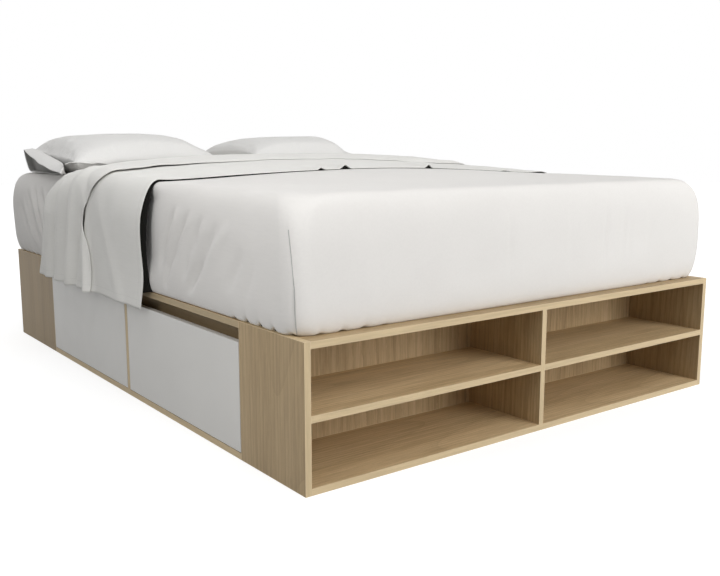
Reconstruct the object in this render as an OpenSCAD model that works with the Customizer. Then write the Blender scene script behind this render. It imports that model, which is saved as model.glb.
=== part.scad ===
// Storage platform bed: an open shelf unit at the foot, two drawers on each side, a closed
// chest at the head and a deck over all of it, made up with a mattress, two pillows and a
// turned-back top sheet. Lengths in millimetres. The origin is the middle of the footprint on
// the floor, +Y points to the head of the bed, +X to the right seen from the foot.

/* [Mattress] */
// Width of the mattress
mattress_w = 1372; // [1200:1:1850]
// Length of the mattress
mattress_l = 1905; // [1850:1:2100]
// Height of the mattress at its top edge
mattress_h = 286; // [180:1:350]
// Rise of the mattress top from its edges to its middle
mattress_crown = 25; // [2:1:35]
// How far the sides swell past the nominal size at mid-height
side_swell = 22; // [5:1:28]
// Rounding of the top edge, measured inwards
top_roll = 52; // [30:1:65]
// Rounding of the bottom edge, measured inwards
bottom_roll = 30; // [15:1:60]
// Corner radius seen from above, at mid-height
corner_r = 40; // [30:1:120]

/* [Frame] */
// Thickness of every frame board
board = 15; // [12:0.5:22]
// Height of the deck above the floor
deck_h = 318; // [300:1:420]
// Deck that shows past the mattress on each side
side_margin = 10; // [6:1:60]
// Deck that shows past the mattress at the foot
foot_margin = 43; // [24:1:120]
// Deck that shows past the mattress at the head
head_margin = 2; // [0:1:60]
// Depth of the foot shelf unit with its back panel
foot_depth = 262; // [200:1:360]
// Depth of the head chest
head_depth = 390; // [250:1:450]
// Height of the lower cubbies, between the bottom board and the shelf
cubby_h = 136.5; // [110:0.5:150]
// Diameter of the wooden dowels
dowel_d = 8; // [6:1:10]
// Length of the wooden dowels
dowel_l = 30; // [24:1:40]
// Width of the cleats that carry the ends of the deck
cleat_w = 15; // [12:1:30]
// Height of those cleats
cleat_h = 40; // [25:1:50]

/* [Drawers] */
// Thickness of the drawer fronts
front_t = 15; // [12:0.5:20]
// Gap around a drawer front
front_gap = 2; // [1:0.5:4]
// Height of the finger gap above a drawer front
finger_gap = 33; // [22:1:45]
// Distance of the rail behind the finger gap from the outer face
rail_setback = 38; // [30:1:60]
// How far that rail reaches down behind the drawer fronts
rail_overlap = 18; // [0:1:25]
// Depth of a drawer box from its front to its back
box_l = 600; // [450:1:620]
// Height of a drawer box
box_h = 205; // [120:1:210]
// Height of a drawer box above the bottom boards
box_lift = 15; // [6:1:25]
// Thickness of the drawer box boards
box_t = 12; // [9:0.5:16]
// Thickness of the drawer bottom
tray_t = 5; // [3:0.5:8]
// Height of the drawer bottom above the lower edge of its box
tray_up = 10; // [6:1:20]
// Depth of the groove that holds the drawer bottom
groove = 6; // [3:0.5:7]

/* [Runners] */
// Width of a closed runner
runner_w = 12.7; // [10:0.1:16]
// Height of a runner
runner_h = 45; // [35:1:53]
// Length of a runner
runner_l = 590; // [400:1:610]
// Thickness of the runner steel
runner_t = 1.2; // [1:0.1:1.5]
// Running clearance between the runner members
runner_gap = 0.4; // [0.2:0.05:0.5]
// Height of the runner's middle above the lower edge of the drawer box
runner_up = 80; // [40:1:110]
// Distance of the runner's front end behind the drawer front
runner_back = 4; // [2:1:10]

/* [Bedding] */
// Distance of the top sheet's foot-side edge from the foot of the frame
sheet_start = 700; // [500:1:900]
// Distance of the top sheet's head-side edge from the foot of the frame
sheet_end = 1390; // [1250:1:1450]
// The same at the hem, where the sheet flares towards the head
hem_end = 1600; // [1450:1:1700]
// Height of the hem above the drawer fronts
hem_over_front = 6; // [3:1:60]
// Thickness of the top sheet
sheet_t = 5; // [3:0.5:12]
// Extra height of the turned-back part on top of the mattress
turned_loft = 26; // [6:1:40]
// How much further the hanging part stands off than the part on top
side_loft = 12; // [0:1:20]
// Depth of the folds in the hanging part
fold_depth = 11; // [0:1:20]
// Length of a pillow across the bed
pillow_l = 684; // [500:1:690]
// Depth of a pillow along the bed
pillow_d = 486; // [350:1:500]
// Height of a pillow
pillow_h = 118; // [70:1:170]
// How far a pillow's sides draw in between its corners
pillow_pull = 0.07; // [0:0.01:0.15]
// Gap between the two pillows
pillow_space = 10; // [4:1:40]
// Gap between soft pieces that lie on each other
soft_gap = 0.8; // [0.5:0.1:2]

/* [Hidden] */

wood = [0.80, 0.70, 0.55];
white = [0.86, 0.86, 0.85];
birch = [0.86, 0.78, 0.64];
steel = [0.72, 0.73, 0.75];
linen = [0.93, 0.93, 0.92];

// Outer planes of the frame
side_x = mattress_w / 2 + side_margin;
frame_l = mattress_l + foot_margin + head_margin;
foot_y = -frame_l / 2;
head_y = frame_l / 2;
inner_x = side_x - board;
under_deck = deck_h - board;

// Planes between the shelf unit, the two drawer bays and the chest
foot_unit_y = foot_y + foot_depth;
chest_y = head_y - head_depth;
middle_y = (foot_unit_y + chest_y) / 2;
bay_start = [foot_unit_y, middle_y + board / 2];
bay_end = [middle_y - board / 2, chest_y];
shelf_z = board + cubby_h;

// Drawer fronts and boxes, with x counted inwards from the side plane
front_top = under_deck - finger_gap;
box_z = board + box_lift;
runner_z = box_z + runner_up;
runner_x = front_t + runner_back;
box_clear = 4;
rail_z = max(front_top - rail_overlap, box_z + box_h + box_clear);
spine_x = board / 2;

// Clearances
dowel_slack = 0.2;
groove_slack = 0.2;
dowel_seat = 10;
dowel_inset = 55;
arc_steps = 24;

// A board given by its two corners
module slab(low, high) {
    translate(low) cube(high - low);
}

// Draws its children on the right side of the bed as a mirror image of the left side
module on_side(right) {
    mirror([right ? 1 : 0, 0, 0]) children();
}

// ---------------------------------------------------------------- dowels

// A dowel along x, from its seat in the side panel into the end of a board
module side_dowel(y, z, d) {
    for (turn = [0, 180])
        rotate([0, 0, turn])
            translate([inner_x + dowel_seat, turn == 0 ? y : -y, z])
                rotate([0, -90, 0]) cylinder(h = dowel_l, d = d, $fn = arc_steps);
}

// An upright dowel that reaches the seat depth past the joint at z, upwards or downwards
module upright_dowel(x, y, z, up, d) {
    low = up ? z + dowel_seat - dowel_l : z - dowel_seat;
    translate([x, y, low]) cylinder(h = dowel_l, d = d, $fn = arc_steps);
}

module foot_dowel_set(d) {
    for (y = [foot_y + dowel_inset, foot_unit_y - dowel_inset]) {
        for (z = [board / 2, shelf_z + board / 2, deck_h - board / 2])
            side_dowel(y, z, d);
        upright_dowel(0, y, board, false, d);
        upright_dowel(0, y, under_deck, true, d);
        translate([-board / 2 - dowel_seat, y, shelf_z + board / 2])
            rotate([0, 90, 0]) cylinder(h = board + 2 * dowel_seat, d = d, $fn = arc_steps);
    }
}

module head_dowel_set(d) {
    for (y = [chest_y + dowel_inset, head_y - dowel_inset])
        for (z = [board / 2, deck_h - board / 2])
            side_dowel(y, z, d);
    for (x = [-inner_x / 2, inner_x / 2]) {
        upright_dowel(x, head_y - board / 2, board, false, d);
        upright_dowel(x, head_y - board / 2, under_deck, true, d);
    }
}

module bay_dowel_set(d) {
    for (bay = [0, 1])
        for (y = [bay_start[bay] + dowel_inset, bay_end[bay] - dowel_inset]) {
            upright_dowel(0, y, board, false, d);
            upright_dowel(0, y, under_deck, true, d);
        }
}

module foot_dowels() {
    color(birch) foot_dowel_set(dowel_d);
}

module head_dowels() {
    color(birch) head_dowel_set(dowel_d);
}

module bay_dowels() {
    color(birch) bay_dowel_set(dowel_d);
}

// ---------------------------------------------------------------- foot shelf unit

module foot_board(low, high) {
    color(wood) difference() {
        slab(low, high);
        foot_dowel_set(dowel_d + dowel_slack);
    }
}

module foot_side(right) {
    x = right ? inner_x : -side_x;
    foot_board([x, foot_y, 0], [x + board, foot_unit_y, deck_h]);
}

module foot_top() {
    foot_board([-inner_x, foot_y, under_deck], [inner_x, foot_unit_y, deck_h]);
}

module foot_bottom() {
    foot_board([-inner_x, foot_y, 0], [inner_x, foot_unit_y, board]);
}

module foot_back() {
    color(wood)
        slab([-inner_x, foot_unit_y - board, board], [inner_x, foot_unit_y, under_deck]);
}

module foot_divider() {
    foot_board([-board / 2, foot_y, board], [board / 2, foot_unit_y - board, under_deck]);
}

module foot_shelf(right) {
    x = right ? board / 2 : -inner_x;
    foot_board([x, foot_y, shelf_z],
               [x + inner_x - board / 2, foot_unit_y - board, shelf_z + board]);
}

// ---------------------------------------------------------------- head chest

module head_board(low, high) {
    color(wood) difference() {
        slab(low, high);
        head_dowel_set(dowel_d + dowel_slack);
    }
}

module head_side(right) {
    x = right ? inner_x : -side_x;
    head_board([x, chest_y, 0], [x + board, head_y, deck_h]);
}

module head_top() {
    head_board([-inner_x, chest_y, under_deck], [inner_x, head_y, deck_h]);
}

module head_bottom() {
    head_board([-inner_x, chest_y, 0], [inner_x, head_y, board]);
}

module head_front() {
    color(wood) slab([-inner_x, chest_y, board], [inner_x, chest_y + board, under_deck]);
}

module head_end() {
    head_board([-inner_x, head_y - board, board], [inner_x, head_y, under_deck]);
}

// ---------------------------------------------------------------- drawer bays and deck

module bay_board(low, high) {
    color(wood) difference() {
        slab(low, high);
        bay_dowel_set(dowel_d + dowel_slack);
    }
}

module bay_bottom(head) {
    low_y = head ? middle_y : foot_unit_y;
    high_y = head ? chest_y : middle_y;
    bay_board([-side_x, low_y, 0], [side_x, high_y, board]);
}

module bay_divider() {
    color(wood)
        slab([-side_x, middle_y - board / 2, board], [side_x, middle_y + board / 2, under_deck]);
}

module spine(bay) {
    bay_board([-spine_x, bay_start[bay], board], [spine_x, bay_end[bay], under_deck]);
}

module rail(right, bay) {
    color(wood) on_side(right)
        slab([rail_setback - side_x, bay_start[bay], rail_z],
             [rail_setback - side_x + board, bay_end[bay], under_deck]);
}

module deck(head) {
    low_y = head ? middle_y : foot_unit_y;
    high_y = head ? chest_y : middle_y;
    bay_board([-side_x, low_y, under_deck], [side_x, high_y, deck_h]);
}

// Cleats on the shelf unit's back and on the chest's front, under the ends of the deck
module deck_cleats() {
    start_x = -side_x + rail_setback + board;
    color(wood)
        for (right = [false, true])
            on_side(right) {
                slab([start_x, foot_unit_y, under_deck - cleat_h],
                     [-spine_x, foot_unit_y + cleat_w, under_deck]);
                slab([start_x, chest_y - cleat_w, under_deck - cleat_h],
                     [-spine_x, chest_y, under_deck]);
            }
}

// ---------------------------------------------------------------- drawers

module drawer_front(right, bay) {
    color(white) on_side(right)
        slab([-side_x, bay_start[bay] + front_gap, board + front_gap],
             [-side_x + front_t, bay_end[bay] - front_gap, front_top]);
}

// Planes of one drawer box
function box_x(end) = -side_x + front_t + (end ? box_l : 0);
function box_y0(bay) = bay_start[bay] + runner_w;
function box_y1(bay) = bay_end[bay] - runner_w;

// The drawer bottom, or with slack the groove that it slides into
module tray_plate(bay, slack) {
    reach = box_t - groove;
    slab([box_x(false) + reach - slack, box_y0(bay) + reach - slack,
          box_z + tray_up - slack / 2],
         [box_x(true) - reach + slack, box_y1(bay) - reach + slack,
          box_z + tray_up + tray_t + slack / 2]);
}

module box_sides(right, bay) {
    color(birch) on_side(right) difference() {
        for (y = [box_y0(bay), box_y1(bay) - box_t])
            slab([box_x(false), y, box_z], [box_x(true), y + box_t, box_z + box_h]);
        tray_plate(bay, groove_slack);
    }
}

module box_ends(right, bay) {
    color(birch) on_side(right) difference() {
        for (x = [box_x(false), box_x(true) - box_t])
            slab([x, box_y0(bay) + box_t, box_z],
                 [x + box_t, box_y1(bay) - box_t, box_z + box_h]);
        tray_plate(bay, groove_slack);
    }
}

module tray(right, bay) {
    color(birch) on_side(right) tray_plate(bay, 0);
}

// ---------------------------------------------------------------- telescopic runners

// Section of a channel that opens away from the wall: a web, two flanges and two turned-in
// lips. The first coordinate counts from the wall towards the drawer, the second is height.
module channel_section(web, depth, half_h, lip) {
    difference() {
        translate([web, -half_h]) square([depth, 2 * half_h]);
        translate([web + runner_t, -half_h + runner_t])
            square([depth, 2 * (half_h - runner_t)]);
    }
    for (up = [-1, 1])
        scale_y(up)
            translate([web + depth - runner_t, half_h - lip]) square([runner_t, lip]);
}

// Keeps or flips the height of a section
module scale_y(up) {
    mirror([0, up < 0 ? 1 : 0]) children();
}

// Section of the drawer member: a hat whose brim runs inside the middle member and whose
// crown reaches the side of the drawer box
module hat_section(web, brim_depth, half_h, crown_half) {
    for (up = [-1, 1])
        scale_y(up) {
            translate([web, half_h - runner_t]) square([brim_depth, runner_t]);
            translate([web, crown_half - runner_t])
                square([runner_t, half_h - crown_half + runner_t]);
            translate([web, crown_half - runner_t]) square([runner_w - web, runner_t]);
        }
    translate([runner_w - runner_t, -crown_half]) square([runner_t, 2 * crown_half]);
}

// Where the nested sections start and end, each a running clearance inside the last one
slide_proud = 2;
channel_depth = runner_w - slide_proud;
middle_web = runner_t + runner_gap;
middle_depth = channel_depth - runner_t - runner_gap - middle_web;
middle_half = runner_h / 2 - runner_t - runner_gap;
slide_web = middle_web + runner_t + runner_gap;
slide_depth = middle_depth - 2 * runner_t - 2 * runner_gap;
slide_half = middle_half - runner_t - runner_gap;
lip_h = 3.2;
crown_half_h = slide_half - 2 * lip_h;

// Runs a section along both walls of a bay, for the pair of runners of one drawer
module runner_pair(right, bay) {
    color(steel) on_side(right) {
        translate([runner_x - side_x, bay_start[bay], runner_z])
            rotate([90, 0, 90]) linear_extrude(runner_l) children();
        translate([runner_x - side_x, bay_end[bay], runner_z])
            mirror([0, 1, 0]) rotate([90, 0, 90]) linear_extrude(runner_l) children();
    }
}

module runner_channels(right) {
    for (bay = [0, 1])
        runner_pair(right, bay) channel_section(0, channel_depth, runner_h / 2, lip_h);
}

module runner_middle(right, bay) {
    runner_pair(right, bay) channel_section(middle_web, middle_depth, middle_half, lip_h);
}

module runner_slide(right, bay) {
    runner_pair(right, bay) hat_section(slide_web, slide_depth, slide_half, crown_half_h);
}

// ---------------------------------------------------------------- soft shapes

roll_power = 2.7;
mid_z = deck_h + mattress_h / 2;
top_z = deck_h + mattress_h;
half_w = mattress_w / 2 + side_swell;
half_l = mattress_l / 2 + side_swell;
mattress_y = (foot_margin - head_margin) / 2;
roll_angles = [0, 22, 42, 60, 76, 90];

// Points of a superellipse quarter: how far it has turned in and up at an angle
function roll_in(r, a) = r * (1 - pow(cos(a), 2 / roll_power));
function roll_up(h, a) = h * pow(sin(a), 2 / roll_power);

// Triangles of a closed skin over stacked rings of n points, with a fan at each end
function side_skin(rings, n) = [
    for (r = [0:rings - 2], i = [0:n - 1], half = [0, 1])
        let (a = r * n + i, b = r * n + (i + 1) % n)
            half == 0 ? [a, a + n, b + n] : [a, b + n, b]];
function fans(rings, n) = concat(
    [for (i = [0:n - 1]) [rings * n, i, (i + 1) % n]],
    [for (i = [0:n - 1]) [rings * n + 1, (rings - 1) * n + (i + 1) % n, (rings - 1) * n + i]]);

// One ring of the mattress: a rounded rectangle drawn in by inset, with the corner arcs and
// a few points along the sides, scaled about its middle. The corners open up as it draws in.
corner_steps = [0, 30, 60, 90];
side_steps = [0.25, 0.5, 0.75];
corner_growth = 0.6;
function ring_corner(k, hx, hy, r) = let (q = k * 90)
    [for (a = corner_steps) [
        ([1, -1, -1, 1][k]) * (hx - r) + r * cos(a + q),
        ([1, 1, -1, -1][k]) * (hy - r) + r * sin(a + q)]];
function ring_side(from, to) = [for (s = side_steps) from * (1 - s) + to * s];
function ring(inset, scale, z) =
    let (hx = half_w - inset, hy = half_l - inset, r = corner_r + corner_growth * inset,
         arcs = [for (k = [0:3]) ring_corner(k, hx, hy, r)],
         last = len(corner_steps) - 1,
         loop = [for (k = [0:3])
             each concat(arcs[k], ring_side(arcs[k][last], arcs[(k + 1) % 4][0]))])
    [for (p = loop) [p[0] * scale, p[1] * scale + mattress_y, z]];

crown_power = 1.5;
crown_rings = [0.75, 0.5, 0.25];
function crown_z(s) = top_z + mattress_crown * pow(1 - s * s, crown_power);
mattress_rings = concat(
    [for (a = [90, 76, 60, 42, 22])
        ring(roll_in(bottom_roll, a), 1, mid_z - roll_up(mattress_h / 2, a))],
    [for (a = roll_angles)
        ring(roll_in(top_roll, a), 1, mid_z + roll_up(mattress_h / 2, a))],
    [for (s = crown_rings) ring(top_roll, s, crown_z(s))]);

module mattress() {
    count = len(mattress_rings);
    n = len(mattress_rings[0]);
    points = concat([for (r = mattress_rings) each r],
                    [[0, mattress_y, deck_h], [0, mattress_y, crown_z(0)]]);
    color(linen) polyhedron(points, concat(side_skin(count, n), fans(count, n)), convexity = 4);
}

// Height of the mattress top at a point of it, straight between its rings as its facets are
crown_heights = [for (s = concat([0], [for (i = [len(crown_rings) - 1:-1:0]) crown_rings[i]], [1]))
    [s, crown_z(s)]];
function mattress_z(x, y) =
    lookup(max(abs(x) / (half_w - top_roll), abs(y - mattress_y) / (half_l - top_roll)),
           crown_heights);

// ---------------------------------------------------------------- top sheet

// Stations across the sheet, from a hem to the middle: shares of the hanging part, angles of
// the shoulder, and shares of the flat top, which meet the rings of the mattress
hang_steps = [0, 0.35, 0.7];
top_steps = concat(crown_rings, [0.05]);
hang_count = len(hang_steps);
shoulder_count = len(roll_angles);
half_count = hang_count + shoulder_count + len(top_steps);
function station_x(i, d) =
    i < hang_count ? half_w + d :
    i < hang_count + shoulder_count ?
        half_w - roll_in(top_roll, roll_angles[i - hang_count])
            + d * cos(roll_angles[i - hang_count]) :
    (half_w - top_roll) * top_steps[i - hang_count - shoulder_count];
function station_z(i, d, x, y, hem) =
    i < hang_count ? hem + (mid_z - hem) * hang_steps[i] :
    i < hang_count + shoulder_count ?
        mid_z + roll_up(mattress_h / 2, roll_angles[i - hang_count])
            + d * sin(roll_angles[i - hang_count]) :
    mattress_z(x, y) + d;

// Lines along the bed, as shares of the sheet's width from its foot-side edge. The turned-back
// part starts between the lines on both sides of turn_share.
turn_share = 0.47;
line_steps = [0, 0.12, 0.25, 0.36, turn_share - 0.01, turn_share + 0.01,
              0.53, 0.58, 0.63, 0.68, 0.73, 0.78, 0.83, 0.88, 0.94, 1];
folds_along = 4;
hem_z = front_top + hem_over_front;

// 1 at the hem, falling to the shoulder share at mid-height and to 0 over the shoulder
shoulder_share = 0.5;
function hang_share(i) =
    i < hang_count ? 1 - (1 - shoulder_share) * hang_steps[i] :
    i < hang_count + shoulder_count ? shoulder_share * cos(roll_angles[i - hang_count]) : 0;
function line_y(v, i) =
    foot_y + sheet_start + v * (sheet_end + (hem_end - sheet_end) * hang_share(i) - sheet_start);
function fold(v, i) =
    v < turn_share ? 0 :
    hang_share(i) * fold_depth
        * (1 - cos((v - turn_share) / (1 - turn_share) * 360 * folds_along)) / 2;

// Thickness of the layers: one that rises towards the turned-back part, then two with air
// between them, pressed flatter along the head-side edge. Where they hang, both stand off.
under_share = 0.72;
edge_press = 0.35;
function side_share(i) =
    i < hang_count ? 1 :
    i < hang_count + shoulder_count ? cos(roll_angles[i - hang_count]) : 0;
function stack(v, i) = side_loft * side_share(i) +
    (v < turn_share ? sheet_t + under_share * turned_loft * v / turn_share * (1 - side_share(i))
                    : 2 * sheet_t + turned_loft * (1 - side_share(i))
                        * (v == 1 ? edge_press : 1));

// Under the sheet, between the middle and the shoulders, the flat facets of the crown need room
crown_room = 0.08 * mattress_crown;
function under_gap(i) = soft_gap + (i < hang_count + shoulder_count ? 0 : crown_room);

function sheet_point(i, v, right, outer) =
    let (d = under_gap(i) + fold(v, i) + (outer ? stack(v, i) : 0), y = line_y(v, i),
         x = station_x(i, d))
    [right ? x : -x, y, station_z(i, d, x, y, hem_z)];
function sheet_path(v, outer) = concat(
    [for (i = [0:half_count - 1]) sheet_point(i, v, false, outer)],
    [for (i = [half_count - 1:-1:0]) sheet_point(i, v, true, outer)]);
function backwards(list) = [for (i = [len(list) - 1:-1:0]) list[i]];

// A ring is the outer path followed by the inner path backwards, and the strips close both ends
module top_sheet() {
    m = 2 * half_count;
    n = 2 * m;
    rings = [for (v = line_steps) concat(sheet_path(v, true), backwards(sheet_path(v, false)))];
    last = (len(rings) - 1) * n;
    strips = [for (i = [0:m - 2], half = [0, 1])
        half == 0 ? [i, i + 1, n - 2 - i] : [i, n - 2 - i, n - 1 - i]];
    faces = concat(
        [for (f = side_skin(len(rings), n)) f],
        strips,
        [for (f = strips) [f[2] + last, f[1] + last, f[0] + last]]);
    color(linen) polyhedron([for (r = rings) each r], faces, convexity = 6);
}

// ---------------------------------------------------------------- pillows

pillow_cells = [16, 12];
pillow_rim = 0.36;
pillow_behind_sheet = 8;
top_power = 2.4;
under_power = 5;
flat_share = 1.25;
pillow_y = foot_y + sheet_end + pillow_behind_sheet + pillow_d / 2;
pillow_x = (pillow_l + pillow_space) / 2;

// Fullness of a pillow at a place, 1 in the middle and 0 on its seam
function fullness(u, v, power) =
    pow(max(0, (1 - pow(abs(u), power)) * (1 - pow(abs(v), power))), 0.55);
function pillow_point(u, v, top, middle_x) =
    let (x = middle_x + pillow_l / 2 * u * (1 - pillow_pull * (1 - v * v) * u * u),
         y = pillow_y + pillow_d / 2 * v * (1 - pillow_pull * (1 - u * u) * v * v),
         rest = mattress_z(x, y) + soft_gap,
         seam = rest + pillow_h * pillow_rim)
    [x, y, top ? seam + pillow_h * (1 - pillow_rim) * fullness(u, v, top_power)
               : seam - pillow_h * pillow_rim * min(1, flat_share * fullness(u, v, under_power))];

// Grid lines from -1 to 1, a little closer together near the seam
function pillow_lines(n) = [for (i = [0:n]) 0.65 * (2 * i / n - 1) - 0.35 * cos(180 * i / n)];

// Top and bottom of a pillow as grids that are joined along the seam
module pillow(right) {
    middle_x = right ? pillow_x : -pillow_x;
    a = pillow_cells[0];
    b = pillow_cells[1];
    us = pillow_lines(a);
    vs = pillow_lines(b);
    row = a + 1;
    count = row * (b + 1);
    points = concat(
        [for (v = vs, u = us) pillow_point(u, v, true, middle_x)],
        [for (v = vs, u = us) pillow_point(u, v, false, middle_x)]);
    function inner(i, j) = i > 0 && i < a && j > 0 && j < b;
    function low(i, j) = j * row + i + (inner(i, j) ? count : 0);
    // Both triangles of a cell, split along the diagonal that points to the middle
    function halves(i, j, k) =
        (i < a / 2) == (j < b / 2) ? [[k[0], k[3], k[2]], [k[0], k[2], k[1]]]
                                   : [[k[0], k[3], k[1]], [k[3], k[2], k[1]]];
    tops = [for (j = [0:b - 1], i = [0:a - 1])
        let (p = j * row + i) each halves(i, j, [p, p + 1, p + row + 1, p + row])];
    lows = [for (j = [0:b - 1], i = [0:a - 1])
        for (f = halves(i, j, [low(i, j), low(i + 1, j), low(i + 1, j + 1), low(i, j + 1)]))
            [f[2], f[1], f[0]]];
    color(linen) polyhedron(points, concat(tops, lows), convexity = 4);
}

// ---------------------------------------------------------------- nodes

foot_side(false);  // foot_side_left
foot_side(true);  // foot_side_right
foot_top();
foot_bottom();
foot_back();
foot_divider();
foot_shelf(false);  // foot_shelf_left
foot_shelf(true);  // foot_shelf_right
foot_dowels();
head_side(false);  // head_side_left
head_side(true);  // head_side_right
head_top();
head_bottom();
head_front();
head_end();
head_dowels();
bay_bottom(false);  // bay_bottom_foot
bay_bottom(true);  // bay_bottom_head
bay_divider();
spine(0);  // spine_foot
spine(1);  // spine_head
rail(false, 0);  // rail_left_foot
rail(false, 1);  // rail_left_head
rail(true, 0);  // rail_right_foot
rail(true, 1);  // rail_right_head
deck(false);  // deck_foot
deck(true);  // deck_head
deck_cleats();
bay_dowels();
drawer_front(false, 0);  // left_foot_front
box_sides(false, 0);  // left_foot_box_sides
box_ends(false, 0);  // left_foot_box_ends
tray(false, 0);  // left_foot_tray
drawer_front(false, 1);  // left_head_front
box_sides(false, 1);  // left_head_box_sides
box_ends(false, 1);  // left_head_box_ends
tray(false, 1);  // left_head_tray
drawer_front(true, 0);  // right_foot_front
box_sides(true, 0);  // right_foot_box_sides
box_ends(true, 0);  // right_foot_box_ends
tray(true, 0);  // right_foot_tray
drawer_front(true, 1);  // right_head_front
box_sides(true, 1);  // right_head_box_sides
box_ends(true, 1);  // right_head_box_ends
tray(true, 1);  // right_head_tray
runner_channels(false);  // runner_channels_left
runner_channels(true);  // runner_channels_right
runner_middle(false, 0);  // left_foot_runner_middle
runner_middle(false, 1);  // left_head_runner_middle
runner_middle(true, 0);  // right_foot_runner_middle
runner_middle(true, 1);  // right_head_runner_middle
runner_slide(false, 0);  // left_foot_runner_slide
runner_slide(false, 1);  // left_head_runner_slide
runner_slide(true, 0);  // right_foot_runner_slide
runner_slide(true, 1);  // right_head_runner_slide
mattress();
pillow(false);  // pillow_left
pillow(true);  // pillow_right
top_sheet();
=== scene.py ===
import math

import bpy
import numpy as np
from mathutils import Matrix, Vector


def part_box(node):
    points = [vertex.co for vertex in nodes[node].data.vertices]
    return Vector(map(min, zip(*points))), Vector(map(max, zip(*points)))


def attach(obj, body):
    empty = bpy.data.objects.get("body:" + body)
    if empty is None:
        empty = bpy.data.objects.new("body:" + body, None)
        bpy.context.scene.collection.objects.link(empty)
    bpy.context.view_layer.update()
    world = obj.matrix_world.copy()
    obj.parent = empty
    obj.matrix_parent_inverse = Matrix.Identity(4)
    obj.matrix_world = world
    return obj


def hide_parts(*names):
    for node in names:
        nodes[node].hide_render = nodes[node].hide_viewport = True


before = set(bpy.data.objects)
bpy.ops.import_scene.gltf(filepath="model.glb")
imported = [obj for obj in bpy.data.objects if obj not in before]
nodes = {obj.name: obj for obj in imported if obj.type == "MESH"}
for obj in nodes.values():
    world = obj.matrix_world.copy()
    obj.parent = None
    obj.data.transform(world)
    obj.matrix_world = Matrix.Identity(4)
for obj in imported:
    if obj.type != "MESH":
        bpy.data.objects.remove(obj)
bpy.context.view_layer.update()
print("frame loaded,", len(nodes), "CAD nodes")


# helpers for arrays and meshes

def smooth(low, high, value):
    # 0 below low, 1 above high, 3t^2 - 2t^3 in between
    t = np.clip((value - low) / (high - low), 0, 1)
    return t * t * (3 - 2 * t)


def table(rows, value):
    # straight lines between the rows (place, value) of a table
    rows = np.array(rows)
    return np.interp(value, rows[:, 0], rows[:, 1])


def softNoise(points, wavelength, seed):
    # sum of twelve plane waves of random direction and phase, scaled to about -1..1
    rng = np.random.default_rng(seed)
    directions = rng.normal(size=(12, 3))
    directions /= np.linalg.norm(directions, axis=1)[:, None]
    pitches = rng.uniform(.7, 1.6, 12) * 2 * math.pi / wavelength
    phases = rng.uniform(0, 2 * math.pi, 12)
    total = np.zeros(points.shape[:-1])
    for direction, pitch, phase in zip(directions, pitches, phases):
        total += np.sin(points @ (direction * pitch) + phase)
    return total / 5


def crease(points, start, end, width, depth):
    # a straight groove: depth * exp(-(distance from the line / width)^2), fading out at both ends
    start, end = np.array(start), np.array(end)
    along = end - start
    share = ((points - start) @ along) / (along @ along)
    nearest = start + np.clip(share, 0, 1)[..., None] * along
    distance = np.linalg.norm(points - nearest, axis=-1)
    fade = smooth(-.12, .3, share) * (1 - smooth(.7, 1.12, share))
    return -depth * np.exp(-(distance / width) ** 2) * fade


def meshPiece(name, points, faces, uv=None, outward=True):
    # makes a mesh object from arrays; a closed one whose volume, the sum of a . (b x c) over its
    # faces, comes out negative has all its faces turned round
    points = np.asarray(points, float).reshape(-1, 3)
    faces = [np.asarray(block, int) for block in faces]
    if outward:
        volume = 0
        for block in faces:
            a, b, c = points[block[:, 0]], points[block[:, 1]], points[block[:, -1]]
            volume += np.einsum("ij,ij->i", a, np.cross(b, c)).sum()
            if block.shape[1] == 4:
                volume += np.einsum("ij,ij->i", b, np.cross(points[block[:, 2]], c)).sum()
        if volume < 0:
            faces = [block[:, ::-1] for block in faces]
    mesh = bpy.data.meshes.new(name)
    mesh.from_pydata(points.tolist(), [], [row for block in faces for row in block.tolist()])
    mesh.polygons.foreach_set("use_smooth", np.ones(len(mesh.polygons), bool))
    if uv is not None:
        corner = np.zeros(len(mesh.loops), int)
        mesh.loops.foreach_get("vertex_index", corner)
        layer = mesh.uv_layers.new(name="metres")
        layer.data.foreach_set("uv", np.asarray(uv, float).reshape(-1, 2)[corner].ravel())
    mesh.update()
    piece = bpy.data.objects.new(name, mesh)
    bpy.context.scene.collection.objects.link(piece)
    return piece


def gridFaces(rows, columns, closedRows=False, closedColumns=False):
    # quads of a grid of points stored row by row: (i, j), (i, j + 1), (i + 1, j + 1), (i + 1, j)
    i = np.arange(rows if closedRows else rows - 1)
    j = np.arange(columns if closedColumns else columns - 1)
    i, j = np.meshgrid(i, j, indexing="ij")
    i2, j2 = (i + 1) % rows, (j + 1) % columns
    return np.stack([i * columns + j, i * columns + j2, i2 * columns + j2, i2 * columns + j],
                    axis=-1).reshape(-1, 4)


def facingUp(piece, face):
    # turns an open surface over when the face named looks down
    if piece.data.polygons[face].normal.z < 0:
        piece.data.flip_normals()
    return piece


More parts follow.
